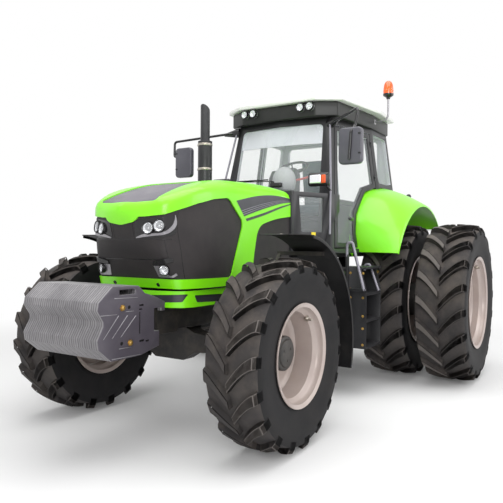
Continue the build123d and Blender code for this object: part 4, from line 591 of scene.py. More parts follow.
def thicken(net, by):
    """Give a sheet its thickness."""
    ops.solidify(net, geom=list(net.faces), thickness=by)


def hood_skin(depth, thick):
    """Lay a sheet over the hood's form, round the nose from one rear edge to the other."""
    net = grid(112, 40)
    fan = 0.46                  # share of a side's run that fans round the nose
    for v in net.verts:
        along, rise = v.co.x * 2, v.co.y + 0.5
        side = 1 if along >= 0 else -1
        share = abs(along)
        azimuth = pi / 2 * min(1.0, share / fan)
        station = FAN_X - (FAN_X - HOOD_BACK_X - 0.001) * max(0.0, (share - fan) / (1 - fan))
        lift = radians(-52 + 142 * rise)
        way = Vector((cos(lift) * cos(azimuth), side * cos(lift) * sin(azimuth), sin(lift)))
        if rise > 0.999:
            way = Vector((0, 0, 1))
        v.co = reach(Vector((station, 0, 1.62)), way, depth)
    ops.remove_doubles(net, verts=net.verts, dist=1e-5)
    ops.bisect_plane(net, geom=whole(net), dist=1e-6, plane_co=(0, 0, HOOD_LOW_Z + 0.001),
        plane_no=(0, 0, -1), clear_outer=True)
    face_along(net, (0, 0, 1))
    thicken(net, thick)
    return net


def prism(name, outline, low, high, axis):
    """A cutter: an outline with rounded corners, pushed through along an axis (0, 1 or 2)."""
    net = bmesh.new()
    corners = []
    for a, b, radius in outline:
        point = [a, b]
        point.insert(axis, low)
        corners.append(net.verts.new(point))
    net.faces.new(corners)
    for corner, (a, b, radius) in zip(corners, outline):
        if radius:
            bevel(net, [corner], radius, 6, "VERTICES")
    pushed = ops.extrude_face_region(net, geom=list(net.faces))["geom"]
    way = [0, 0, 0]
    way[axis] = high - low
    ops.translate(net, verts=only_verts(pushed), vec=way)
    ops.recalc_face_normals(net, faces=net.faces)
    return stand_net(name, net)


def subtract(thing, tool):
    """Cut a tool out of an object."""
    cut = thing.modifiers.new(tool.name, "BOOLEAN")
    cut.object, cut.operation, cut.solver = tool, "DIFFERENCE", "EXACT"


def carve(net, tools):
    """Cut the tools out of a closed net, give the net back and clear the tools away."""
    blank = stand_net("blank", net)
    for tool in tools:
        subtract(blank, tool)
    shaped = bpy.data.meshes.new_from_object(blank.evaluated_get(bpy.context.evaluated_depsgraph_get()))
    for spent in (blank, *tools):
        bpy.data.objects.remove(spent)
    carved = bmesh.new()
    carved.from_mesh(shaped)
    return carved


NOSE_WINDOW = ((1.214, 1.698, 0.05), (1.436, 1.889, 0.035), (1.641, 1.865, 0), (1.821, 1.82, 0),
    (1.998, 1.758, 0), (2.077, 1.728, 0), (2.13, 1.714, 0), (2.275, 1.704, 0), (2.275, 1.256, 0),
    (1.395, 1.248, 0.03))
SIDE_WINDOW = ((0.315, 1.79, 0), (0.715, 1.744, 0.15), (0.975, 1.672, 0.09), (1.053, 1.374, 0.09),
    (1.065, 1.12, 0), (0.315, 1.12, 0))
HALF_VENT = ((2.125, 0.11, 0.02), (2.08, 0.285, 0.03), (1.445, 0.265, 0.05))
TOP_VENT = (*HALF_VENT, *((x, -y, radius) for x, y, radius in reversed(HALF_VENT)))
TONGUE = ((0.175, 2.1, 0), (0.175, 1.722, 0.02), (0.132, 1.676, 0.03), (0, 1.653, 0.02),
    (-0.132, 1.676, 0.03), (-0.175, 1.722, 0.02), (-0.175, 2.1, 0))
window = prism("nose_window", NOSE_WINDOW, -0.6, 0.6, 1)
tongue = prism("nose_tongue", TONGUE, 1.93, 2.4, 0)
subtract(window, tongue)
net = carve(hood_skin(0.0, 0.011), [window, prism("side_window", SIDE_WINDOW, -0.6, 0.6, 1),
    prism("vent_opening", TOP_VENT, 1.68, 2.3, 2)])
bpy.data.objects.remove(tongue)
ops.remove_doubles(net, verts=net.verts, dist=2e-5)
settle("hood_skin", net, GREEN, "hood", ("hood_shell",), 38)

# liner behind the openings, moulded in charcoal plastic
settle("hood_liner", hood_skin(0.013, 0.006), CHARCOAL, "hood", ("hood_grille",), 38)


# ---- hood seams and decals ----
# Pressed seams, shown as black strips of painted shade, divide the charcoal nose into
# panels, a fine mesh fills the top intake, and blank vinyl bands are laid on the hood's painted sides.
MESH = finish("intake_mesh", (0.135, 0.125, 0.15), (0.175, 0.165, 0.19), (0.35, 0.5), 3, 1400, 0.9,
    metal=0.3, dust=(0.32, 0.31, 0.33, 0.25))
SLATE = finish("slate_vinyl", (0.03, 0.03, 0.04), (0.042, 0.041, 0.054), (0.32, 0.42), 7, 600, 0.04,
    coat=0.15)
PEWTER = finish("pewter_line", (0.22, 0.21, 0.25), (0.27, 0.26, 0.3), (0.3, 0.4), 9, 500, 0.04,
    metal=0.3)


def laid(point, depth):
    """Move a point onto the hood's form, this deep under its surface."""
    origin = Vector((min(point[0], FAN_X), 0, point[2]))
    return reach(origin, (Vector(point) - origin).normalized(), depth)


def eased(points, share):
    """A smooth run through a few points, at a share of its length."""
    spans = len(points) - 1
    at = min(spans - 1, int(share * spans))
    t = share * spans - at
    before = Vector(points[max(0, at - 1)])
    a, b = Vector(points[at]), Vector(points[at + 1])
    after = Vector(points[min(spans, at + 2)])
    return 0.5 * ((2 * a) + (b - before) * t + (2 * before - 5 * a + 4 * b - after) * t * t
        + (3 * a - before - 3 * b + after) * t * t * t)


def band(net, upper, lower, depth, thick, side=1, long_steps=28, cross_steps=4, low_share=0.0,
        high_share=1.0):
    """A thin band laid on the hood between two edges, given by a few points each."""
    sheet = grid(long_steps, cross_steps)
    for v in sheet.verts:
        along, across = v.co.x + 0.5, v.co.y + 0.5
        share = low_share + (high_share - low_share) * across
        point = laid(eased(lower, along).lerp(eased(upper, along), share), depth)
        v.co = (point.x, side * point.y, point.z)
    ops.recalc_face_normals(sheet, faces=sheet.faces)
    middle = min(sheet.faces, key=lambda f: f.calc_center_median().length)
    outward = middle.calc_center_median() - Vector((1.2, 0, 1.5))
    if middle.normal.dot(outward) < 0:
        ops.reverse_faces(sheet, faces=sheet.faces)
    thicken(sheet, thick)
    absorb(net, sheet)


def line(net, points, width, depth, side=1, tilt=(0, 0, 1)):
    """A narrow strip of painted shade along a few points on the hood, for a seam."""
    half = Vector(tilt) * width / 2
    band(net, [Vector(p) + half for p in points], [Vector(p) - half for p in points], depth, 0.002,
        side, 24, 1)


# painted shade: thin gloss black strips laid along the pressed seams
seam_shade = bmesh.new()
for z in (1.549, 1.398):
    line(seam_shade, [(2.02, y, z) for y in (-0.385, -0.19, 0, 0.19, 0.385)], 0.005, 0.0115)
for side, sign in SIDES:
    line(seam_shade, [(1.978, 0.41, 1.75), (1.986, 0.407, 1.645), (1.956, 0.42, 1.461),
        (1.943, 0.426, 1.363), (1.926, 0.433, 1.262)], 0.004, 0.0115, sign, (1, 0.25, 0))
    line(seam_shade, [(2.16, 0.105, 1.672), (2.15, 0.105, 1.61), (2.13, 0.105, 1.551)], 0.004, 0.0115, sign,
        (0, 1, 0))
    line(seam_shade, [(2.07, 0.355, 1.549), (2.05, 0.357, 1.48), (2.04, 0.372, 1.4)], 0.004, 0.0115, sign,
        (0, 1, 0))
settle("nose_seam_shade", seam_shade, TRIM, "hood")

net = grid(30, 24)
for v in net.verts:
    share = v.co.x + 0.5
    x = 1.448 + 0.667 * share
    half = 0.262 + 0.018 * share if x < 2.08 else 0.28 - 0.17 * (x - 2.08) / 0.045
    y = v.co.y * 2 * max(half, 0.1)
    v.co = reach(Vector((x, y, 1.45)), Vector((0, 0, 1)), 0.009)
face_along(net, (0, 0, 1))
thicken(net, 0.002)
settle("intake_screen", net, MESH, "hood")

DECAL_TOP = ((0.368, 0.457, 1.958), (0.651, 0.458, 1.967), (0.977, 0.469, 1.939), (1.325, 0.482, 1.874))
DECAL_FOOT = ((0.368, 0.465, 1.92), (0.577, 0.47, 1.894), (0.9, 0.475, 1.826), (1.205, 0.48, 1.75))
STRIPE_TOP = ((0.368, 0.466, 1.908), (0.579, 0.471, 1.867), (0.88, 0.475, 1.795), (1.182, 0.48, 1.731))
STRIPE_FOOT = ((0.368, 0.467, 1.898), (0.567, 0.471, 1.853), (0.86, 0.475, 1.777), (1.164, 0.48, 1.711))
for side, sign in SIDES:
    net = bmesh.new()
    band(net, DECAL_TOP, DECAL_FOOT, -0.0012, 0.001, sign, 36, 8)
    band(net, STRIPE_TOP, STRIPE_FOOT, -0.0012, 0.001, sign, 36, 2)
    settle(f"side_decal_{side}", net, SLATE, "hood")
    net = bmesh.new()
    for low_share in (0.1, 0.22, 0.34):
        band(net, DECAL_TOP, DECAL_FOOT, -0.0022, 0.001, sign, 36, 1, low_share, low_share + 0.035)
    settle(f"decal_lines_{side}", net, PEWTER, "hood")


# ---- hood lamps ----
# Two round headlamps and a fog lamp on each side of the nose: a bright bowl
# behind a domed lens in a black bezel, with a silver blade curving round them.
SILVER = finish("silver_trim", (0.27, 0.26, 0.28), (0.34, 0.33, 0.35), (0.26, 0.38), 6, 500, 0.05,
    metal=0.5, coat=0.3)
BOWL = finish("lamp_bowl", (0.93, 0.94, 0.96), (0.88, 0.89, 0.92), (0.06, 0.12), 9, 300, 0.1, metal=0.9)


def clear_glass(name, tint, rough, opacity):
    """Glass that is mostly see-through, with a faint film on it."""
    made, tree, shader, place = blank_finish(name)
    film = wire(tree, "TexNoise", {"Vector": place, "Scale": 2.5, "Detail": 5})
    veil = wire(tree, "MapRange", {"Value": film, "To Min": opacity * 0.8, "To Max": opacity * 1.25})
    faded = (*(0.86 * part for part in tint), 1)
    wire(tree, shader, {"Base Color": mixed(tree, film, (*tint, 1), faded), "Roughness": rough,
        "Specular IOR Level": 0.8, "Coat Weight": 0.5, "Alpha": veil})
    return made


LENS = clear_glass("lamp_lens", (0.95, 0.97, 1.0), 0.05, 0.22)


def spun(net, outline, foot, way, steps=40):
    """Spin an outline of (radius, forward) points about an axis through a foot."""
    part = bmesh.new()
    spin(part, [(radius, 0, forward) for radius, forward in outline], (0, 0, 0), (0, 0, 1), steps)
    ops.transform(part, matrix=aimed(foot, way), verts=part.verts)
    absorb(net, part)


LAMP_PARTS = (
    # part, finish, slot, outlines of (share of the radius, forward)
    ("bezel", TRIM, "black_plastic",
     [[(1.02, -0.03), (1.2, -0.026), (1.22, -0.002), (1.14, 0.005), (1.03, 0.003), (1, -0.006),
       (0.985, -0.028), (1.02, -0.03)]]),
    ("bowl", BOWL, "lamp_lens",
     [[(0, -0.028), (0.22, -0.028), (0.24, -0.022), (0.55, -0.019), (0.85, -0.01), (0.99, -0.003),
       (1, -0.006), (0.86, -0.014), (0.55, -0.023), (0.2, -0.032), (0, -0.032)],
      [(0, -0.01), (0.16, -0.012), (0.18, -0.024), (0, -0.026)]]),
    ("lens", LENS, "lamp_lens",
     [[(0, 0.006), (0.5, 0.0045), (0.85, 0.001), (1.01, -0.003), (0.99, -0.005), (0.5, 0.002),
       (0, 0.003)]]),
)


def round_lamp(name, foot, way, radius, body="root", stands_for=()):
    """Bezel, bowl and lens of one round lamp that faces along a way."""
    for part, material, slot, outlines in LAMP_PARTS:
        net = bmesh.new()
        for steps, outline in zip((40, 20), outlines):
            spun(net, [(radius * share, at) for share, at in outline], Vector(foot), way, steps)
        settle(f"{name}_{part}", net, material, body, stands_for if part == "lens" else ())


NOSE_LAMPS = (
    # name, y, z, radius, way it faces
    ("head_inner", 0.232, 1.631, 0.04, (1, 0.28, 0.12)),
    ("head_outer", 0.326, 1.647, 0.04, (1, 0.42, 0.12)),
    ("fog", 0.366, 1.322, 0.034, (1, 0.42, 0.0)),
)
BLADE_TOP = ((2.129, 0.132, 1.563), (2.126, 0.198, 1.585), (2.111, 0.26, 1.591), (2.089, 0.324, 1.594),
    (2.058, 0.366, 1.612), (2.021, 0.386, 1.647), (2.002, 0.394, 1.685), (1.998, 0.398, 1.728))
BLADE_FOOT = ((2.128, 0.132, 1.555), (2.121, 0.212, 1.566), (2.103, 0.284, 1.574), (2.08, 0.347, 1.58),
    (2.043, 0.38, 1.596), (2.005, 0.4, 1.63), (1.99, 0.407, 1.669), (1.996, 0.401, 1.722))
for side, sign in SIDES:
    net = bmesh.new()
    band(net, [(2.13, 0.125, 1.685), (2.09, 0.26, 1.7), (2.02, 0.385, 1.725), (1.99, 0.402, 1.735)],
        [(2.11, 0.115, 1.556), (2.08, 0.26, 1.556), (2.02, 0.38, 1.575), (1.99, 0.402, 1.6)], 0.0105,
        0.003, sign)
    settle(f"lamp_pod_{side}", net, TRIM, "hood")
    net = bmesh.new()
    band(net, BLADE_TOP, BLADE_FOOT, 0.002, 0.009, sign, 40, 2)
    band(net, [(2.062, 0.236, 1.352), (2.046, 0.28, 1.352), (2.03, 0.325, 1.35)],
        [(2.02, 0.256, 1.268), (2.02, 0.3, 1.266), (2.0, 0.345, 1.266)], 0.008, 0.004, sign, 16, 6)
    band(net, [(2.02, 0.34, 1.283), (2.01, 0.375, 1.28), (1.99, 0.402, 1.3)],
        [(2.01, 0.345, 1.268), (2.0, 0.38, 1.267), (1.98, 0.408, 1.285)], 0.008, 0.004, sign, 16, 3)
    settle(f"lamp_blade_{side}", net, SILVER, "hood")
    net = bmesh.new()
    band(net, [(2.06, 0.228, 1.378), (2.068, 0.338, 1.404), (2.02, 0.394, 1.412)],
        [(2.051, 0.236, 1.352), (2.056, 0.349, 1.369), (2.015, 0.396, 1.384)], 0.001, 0.012, sign, 20,
        3)
    settle(f"fog_lamp_brow_{side}", net, TRIM, "hood")
    for name, y, z, radius, way in NOSE_LAMPS:
        foot = laid((2.1, y, z), -0.004)
        round_lamp(f"{name}_lamp_{side}", (foot.x, sign * foot.y, foot.z),
            (way[0], sign * way[1], way[2]), radius, "hood", ("headlamps",))
    # towing eye's hole in the lower band, a black disc laid on as painted shade
    foot = laid((2.0, 0.231, 1.208), -0.001)
    across = laid((2.0, 0.251, 1.208), -0.001) - foot
    way = across.cross(laid((2.0, 0.231, 1.228), -0.001) - foot).normalized()
    net = bmesh.new()
    spun(net, [(0, 0.0), (0.013, 0.0), (0.015, 0.001), (0.0165, 0.0), (0.0165, -0.004), (0, -0.004)],
        (foot.x, sign * foot.y, foot.z), (way.x, sign * way.y, way.z), 24)
    settle(f"band_hole_shade_{side}", net, TRIM, "hood")


# ---- front bumper ----
# A painted steel band that wraps round below the hood, with two dark inserts
# let in on each side and a green web left standing at the corner.
BUMPER_PLAN = [(2.005, 0, 0), (2.005, 0.06, 0), (1.997, 0.25, 0), (1.938, 0.398, 0), (1.83, 0.449, 0),
    (1.6, 0.452, 0), (1.415, 0.45, 0)]
INSIDE = 0.9999             # keeps a share within the last span of a run
net = grid(96, 8)
for v in net.verts:
    plan = eased(BUMPER_PLAN, abs(v.co.x) * 2 * INSIDE)
    side = 1 if v.co.x > 0 else -1
    v.co = (plan.x, side * plan.y, 1.0405 + 0.124 * (v.co.y + 0.5))
ops.remove_doubles(net, verts=net.verts, dist=1e-5)
face_along(net, (1, 0, 0))
behind = net.copy()
thicken(net, 0.01)
FRONT_INSERT = ((0.112, 1.128, 0.008), (0.436, 1.141, 0.008), (0.41, 1.083, 0.01),
    (0.124, 1.072, 0.008))
SIDE_INSERT = ((1.832, 1.13, 0.01), (1.455, 1.116, 0.008), (1.455, 1.056, 0.008), (1.806, 1.074, 0.012))
tools = []
for side, sign in SIDES:
    outline = [(sign * y, z, radius) for y, z, radius in FRONT_INSERT]
    tools.append(prism(f"bumper_front_insert_{side}", outline, 1.8, 2.1, 0))
tools.append(prism("bumper_side_insert", SIDE_INSERT, -0.6, 0.6, 1))
net = carve(net, tools)
settle("bumper_band", net, GREEN, "root", ("front_bumper",))
ops.translate(behind, verts=behind.verts, vec=(-0.011, 0, 0))
ops.scale(behind, vec=(1, 0.975, 0.9), verts=behind.verts, space=Matrix.Translation((0, 0, -1.1025)))
thicken(behind, 0.004)
settle("bumper_inserts", behind, SLATE, "root")


# ---- front weights ----
# Cast iron plates hooked side by side over the carrier. Their edges show thin
# dusty lines with painted shade in dark lines between; the outer cheeks are dark
# paint with cast ribs, and two brass-plated tie bolts hold the pack together.
def painted_gap_shade(material, axis, period, depth):
    """Darken a finish in thin lines of painted shade at a regular pitch along an axis."""
    tree = material.node_tree
    shader = tree.nodes["Principled BSDF"]
    under = shader.inputs["Base Color"].links[0].from_socket
    place = tree.nodes["Texture Coordinate"].outputs["Object"]
    wave = wire(tree, "TexWave", {"Vector": place, "Scale": pi / (10 * period), "Distortion": 0.6,
        "Detail": 1}, "Fac", bands_direction=axis)
    between = wire(tree, "MapRange", {"Value": wave, "From Min": 0.04, "From Max": 0.34,
        "To Min": depth})
    wire(tree, shader, {"Base Color": mixed(tree, between, (0.03, 0.028, 0.03, 1), under)})


def block(net, middle, size, radius, turn=Matrix(), segments=3):
    """A box with all its edges rounded, turned about its middle if asked."""
    part = bmesh.new()
    ops.create_cube(part, size=1)
    ops.scale(part, vec=size, verts=part.verts)
    bevel(part, list(part.edges), radius, segments)
    ops.transform(part, matrix=Matrix.Translation(middle) @ turn, verts=part.verts)
    absorb(net, part)


IRON = finish("weight_iron", (0.175, 0.168, 0.178), (0.215, 0.207, 0.217), (0.34, 0.5), 2.2, 150, 0.2,
    dust=(0.47, 0.455, 0.465, 0.5))
# painted shade in the gaps between the plates
painted_gap_shade(IRON, "Y", 0.062 / 3, 0.25)
WEIGHT_PAINT = finish("weight_paint", (0.062, 0.054, 0.07), (0.08, 0.071, 0.088), (0.42, 0.56), 4, 210,
    0.25, dust=(0.2, 0.19, 0.2, 0.1))
net = merged_copy("front_weights")
round_edges(net, 0.006, 3, 24)
for face in net.faces:
    if abs(face.normal.y) > 0.5 and abs(face.calc_center_median().y) > 0.365:
        face.material_index = 1
settle("weight_plates", net, [IRON, WEIGHT_PAINT], "root", ("front_weights",))
BRASS = finish("brass_plate", (0.56, 0.36, 0.1), (0.44, 0.27, 0.08), (0.25, 0.4), 60, 500, 0.2,
    metal=0.8)
TIE_BOLT = ((0, 0.016), (0.01, 0.016), (0.0125, 0.013), (0.0165, 0.0125), (0.0185, 0.01),
    (0.0185, 0.003), (0.023, 0.003), (0.023, -0.001), (0, -0.001))
# black discs laid on the cheeks as painted shade where the empty bolt holes are
BOLT_HOLE_SHADE = ((0, 0.0008), (0.011, 0.0008), (0.012, 0.0012), (0.013, 0.0008), (0.013, -0.001),
    (0, -0.001))
CHEEK_RIBS = (
    # start (x, z), end (x, z)
    ((2.536, 1.042), (2.667, 0.902)), ((2.455, 1.036), (2.591, 0.9)), ((2.375, 1.028), (2.516, 0.898)),
    ((2.69, 1.056), (2.548, 1.052)), ((2.472, 1.063), (2.393, 1.061)), ((2.531, 0.824), (2.417, 0.821)),
    ((2.594, 0.764), (2.33, 0.757)), ((2.575, 1.158), (2.36, 1.15)),
)
# black slips laid on the cheeks as painted shade for the cast pockets
POCKET_SHADES = (
    # x, z, width, height
    (2.322, 1.095, 0.04, 0.012), (2.33, 1.068, 0.03, 0.008), (2.318, 0.85, 0.045, 0.014),
    (2.262, 0.842, 0.03, 0.01), (2.338, 0.975, 0.008, 0.15),
)
bolts, hole_shades, ribs = bmesh.new(), bmesh.new(), bmesh.new()
for side, sign in SIDES:
    face_y = sign * 0.3718
    for x, z in ((2.501, 1.091), (2.429, 0.851)):
        spun(bolts, TIE_BOLT, (x, face_y, z), (0, sign, 0), 6)
    for x, z in ((2.439, 1.09), (2.507, 0.856)):
        spun(hole_shades, BOLT_HOLE_SHADE, (x, face_y, z), (0, sign, 0), 24)
    for start, end in CHEEK_RIBS:
        round_bar(ribs, (start[0], face_y, start[1]), (end[0], face_y, end[1]), 0.0035, sides=12,
            tip=0.0015)
    for x, z, wide, high in POCKET_SHADES:
        block(hole_shades, (x, face_y, z), (wide, 0.0024, high), 0.001, segments=2)
settle("weight_tie_bolts", bolts, BRASS, "root")
settle("weight_hole_shades", hole_shades, TRIM, "root")
settle("weight_ribs", ribs, SILVER, "root")


# ---- rear fenders ----
# Pressed steel fenders over the inner rear wheels: flat against the cab, then
# crowned and falling to a rolled outer lip, with a ball lamp on the crest.
FENDER_ARC = ((30, 1.119, 1.108), (38, 1.235, 1.11), (46, 1.325, 1.11), (60, 1.392, 1.11),
    (75, 1.345, 1.11), (90, 1.3, 1.11), (105, 1.24, 1.11), (120, 1.16, 1.11), (130, 1.109, 1.099))
for side, sign in SIDES:
    net = grid(72, 40)
    for v in net.verts:
        angle, crest, lip = eased(FENDER_ARC, (v.co.x + 0.5) * INSIDE)
        t = (v.co.y + 0.5) * 1.12 - 0.12
        if t < 0:
            y, radius = 0.692, crest - 0.012 + (crest - 1.02) * t / 0.12 * 0.9
        else:
            y = 0.692 + (1.228 - 0.692) * t ** 1.15
            radius = lip + (crest - lip) * max(0.0, 1 - max(0.0, (t - 0.12) / 0.88) ** 1.75) ** 0.93
            radius -= 0.012 * max(0.0, 1 - t / 0.06) ** 2
        v.co = round_axle(REAR_AXLE, sign * y, radius, radians(angle))
    rim_edge = [e for e in net.edges if e.is_boundary and min(abs(v.co.y) for v in e.verts) > 1.22]
    rolled = ops.extrude_edge_only(net, edges=rim_edge)["geom"]
    for v in only_verts(rolled):
        away = Vector((v.co.x - REAR_AXLE.x, 0, v.co.z - REAR_AXLE.z)).normalized()
        v.co += -0.022 * away + Vector((0, sign * 0.006, 0))
    face_along(net, (0, 0, 1))
    thicken(net, 0.007)
    settle(f"rear_fender_shell_{side}", net, GREEN, "root",
        ("rear_fenders",) if side == "left" else (), 50)
    net = bmesh.new()
    spun(net, [(0, 0.04), (0.014, 0.036), (0.026, 0.026), (0.031, 0.01), (0.03, -0.004),
        (0.022, -0.012), (0.012, -0.03), (0, -0.03)], (-1.81, sign * 0.955, 2.112), (-0.15, 0, 1), 28)
    settle(f"fender_ball_lamp_{side}", net, TRIM)


# ---- front fenders ----
# Moulded black mudguards that turn with the front wheels, each drawn to a
# point at its inner front corner, with a returned lip and three bolts on top.
PLASTIC = finish("black_plastic", (0.01, 0.01, 0.011), (0.018, 0.017, 0.018), (0.38, 0.52), 3, 380, 0.2,
    dust=(0.13, 0.11, 0.09, 0.15), gloss=0.25)
for side, sign in SIDES:
    body = f"steer_{side}"
    net = merged_copy(f"front_fender_{side}")
    round_edges(net, 0.005, 3, 30)
    settle(f"front_mudguard_{side}", net, PLASTIC, body, (f"front_fender_{side}",))
    net = bmesh.new()
    for angle in (96, 104, 112):
        turn = radians(angle)
        foot = round_axle(FRONT_AXLE, sign * 0.965, 0.884, turn)
        spun(net, [(0, 0.009), (0.008, 0.009), (0.01, 0.007), (0.012, 0.002), (0.018, 0.002),
            (0.018, -0.002), (0, -0.002)], foot, (cos(turn), 0, sin(turn)), 6)
    settle(f"mudguard_bolts_{side}", net, BOLT, body)


# ---- cab ----
# Welded steel tube frame and doors in dark grey powder paint, their edges
# rounded, over a painted cowl; the panes are bonded safety glass, nearly clear.
CAB_BLACK = finish("cab_black", (0.017, 0.017, 0.019), (0.025, 0.025, 0.028), (0.34, 0.46), 2.5, 500,
    0.06, coat=0.12, dust=(0.2, 0.19, 0.17, 0.08), gloss=0.3)
# pale grey-lilac lining, lightened further with painted reflection that stands in for the glare on the
# glass in front of it
LINING_AND_REFLECTION = finish("cab_lining_and_painted_reflection", (0.58, 0.59, 0.64), (0.64, 0.65, 0.7), (0.6, 0.8), 3, 500, 0.15)
GLASS = clear_glass("cab_glass", (0.9, 0.96, 0.97), 0.03, 0.11)
CAB_MIDDLE = Vector((-0.8, 0, 2.15))
for node, width, body in (("cab_frame", 0.007, "root"), ("cab_floor", 0.005, "root"),
        ("cab_cowl", 0.01, "root"), ("door_left", 0.006, "cab_door_left"),
        ("door_right", 0.006, "cab_door_right"), ("entry_steps", 0.002, "root")):
    piece = soften(node, width, [CAB_BLACK, LINING_AND_REFLECTION], body)
    # faces that look into the cab take the pale lining with its painted reflection
    if node in ("cab_frame", "door_left", "door_right"):
        for face in piece.data.polygons:
            inward = CAB_MIDDLE - face.center
            face.material_index = int(face.normal.dot(inward.normalized()) > 0.45)
dress(GLASS, "cab_glazing", "door_glass_left", "door_glass_right")


def bent_tube(net, points, radius, bend=0.04, sides=16):
    """A round tube along a few points, bent smoothly at each corner."""
    points = [Vector(p) for p in points]
    path = [points[0]]
    for before, here, after in zip(points, points[1:], points[2:]):
        reach_in = min(bend, (here - before).length * 0.45, (after - here).length * 0.45)
        start = here + (before - here).normalized() * reach_in
        end = here + (after - here).normalized() * reach_in
        for number in range(7):
            t = number / 6
            path.append(start * (1 - t) ** 2 + here * 2 * t * (1 - t) + end * t * t)
    path.append(points[-1])
    ways = [(b - a).normalized() for a, b in zip(path, path[1:])]
    tangents = [ways[0]] + [(a + b).normalized() for a, b in zip(ways, ways[1:])] + [ways[-1]]
    ring = ops.create_circle(net, cap_ends=True, segments=sides, radius=radius,
        matrix=aimed(path[0], ways[0]))["verts"]
    edges = list(edges_at(ring))
    for at in range(1, len(path)):
        made = ops.extrude_edge_only(net, edges=edges)["geom"]
        moved = only_verts(made)
        turn = tangents[at - 1].rotation_difference(tangents[at]).to_matrix().to_4x4()
        step = Matrix.Translation(path[at]) @ turn @ Matrix.Translation(-path[at - 1])
        ops.transform(net, verts=moved, matrix=step)
        kept = set(moved)
        edges = [e for e in made if isinstance(e, bmesh.types.BMEdge)
            and all(v in kept for v in e.verts)]
    ops.holes_fill(net, edges=edges, sides=sides)
    ops.recalc_face_normals(net, faces=net.faces)


# light conduit clipped up each front pillar, and the handrails by the steps
net = bmesh.new()
for side, sign in SIDES:
    bent_tube(net, [(0.012, sign * 0.722, 1.62), (-0.115, sign * 0.668, 2.15),
        (-0.268, sign * 0.585, 2.8)], 0.011)
settle("pillar_conduits", net, PEWTER, "root")
net = bmesh.new()
bent_tube(net, [(-0.03, 0.89, 1.4), (-0.03, 0.89, 1.53), (-0.03, 0.945, 1.545), (-0.03, 1.07, 1.07)],
    0.0145)
bent_tube(net, [(-0.4, 0.93, 1.25), (-0.4, 0.935, 1.31), (-0.4, 0.985, 1.318), (-0.4, 1.082, 1.05)],
    0.0135)
settle("handrails", net, PEWTER, "root")

# door handles, and the wiper under the windshield
for side, sign in SIDES:
    net = bmesh.new()
    block(net, (-0.235, sign * 0.842, 1.78), (0.105, 0.016, 0.034), 0.006)
    block(net, (-0.235, sign * 0.853, 1.78), (0.08, 0.012, 0.018), 0.005)
    settle(f"door_handle_{side}", net, TRIM, f"cab_door_{side}")
net = bmesh.new()
block(net, (-0.06, 0.06, 2.148), (0.055, 0.135, 0.05), 0.012)
round_bar(net, (-0.06, 0.02, 2.15), (-0.05, 0.02, 2.19), 0.018, 0.003, 24)
bent_tube(net, [(-0.052, 0.02, 2.19), (-0.066, -0.2, 2.196), (-0.072, -0.455, 2.206)], 0.0055)
block(net, (-0.078, -0.25, 2.212), (0.01, 0.4, 0.014), 0.003)
settle("windshield_wiper", net, TRIM)

# turn indicator: black shell, clear lens inboard and amber lens outboard
for side, sign in SIDES:
    net = bmesh.new()
    block(net, (0.016, sign * 0.6, 2.172), (0.064, 0.236, 0.138), 0.03, segments=5)
    bent_tube(net, [(0.01, sign * 0.64, 2.15), (-0.06, sign * 0.665, 2.1), (-0.1, sign * 0.68, 2.06)],
        0.01)
    settle(f"indicator_shell_{side}", net, TRIM)
    net = bmesh.new()
    block(net, (0.042, sign * 0.572, 2.172), (0.018, 0.126, 0.088), 0.008, segments=4)
    settle(f"indicator_clear_{side}", net, BOWL, "root")
AMBER = finish("beacon_amber", (0.84, 0.085, 0.008), (0.9, 0.14, 0.012), (0.12, 0.2), 6, 500, 0.04,
    coat=0.5)
for side, sign in SIDES:
    net = bmesh.new()
    block(net, (0.042, sign * 0.664, 2.172), (0.018, 0.052, 0.086), 0.008, segments=4)
    settle(f"indicator_amber_{side}", net, AMBER, "root")


# ---- roof ----
# Moulded black fascia with four round lamps let into it under a white roof
# skin, a pale sun visor behind the windshield and a lined ceiling.
PLASTIC_SATIN = finish("fascia_plastic", (0.012, 0.013, 0.012), (0.019, 0.02, 0.019), (0.36, 0.46), 2.5,
    420, 0.06, coat=0.08, dust=(0.13, 0.12, 0.1, 0.1), gloss=0.35)
WHITE = finish("roof_white", (0.8, 0.81, 0.78), (0.73, 0.74, 0.71), (0.28, 0.36), 1.5, 700, 0.03,
    coat=0.4, dust=(0.6, 0.6, 0.56, 0.2))
soften("roof_base", 0.016, PLASTIC_SATIN, "root", 4)
soften("roof_cap", 0.012, WHITE, "root", 3)
# sun visor and ceiling in the pale lining, lightened with painted reflection
net = grid(24, 8)
for v in net.verts:
    across, rise = v.co.x * 2, v.co.y + 0.5
    v.co = (-0.205 - 0.055 * rise - 0.055 * across * across, across * 0.515, 2.585 + 0.235 * rise)
ops.recalc_face_normals(net, faces=net.faces)
thicken(net, 0.004)
block(net, (-0.93, 0, 2.835), (1.24, 1.06, 0.026), 0.01)
settle("roof_lining", net, LINING_AND_REFLECTION, "root")
for number, y in enumerate((-0.405, -0.294, 0.294, 0.405)):
    outward = 0.05 if y > 0 else -0.05
    round_lamp(f"roof_lamp_{number}", (-0.136, y, 2.965), (1, outward, -0.05), 0.037)
dress(LENS, "work_lamps")


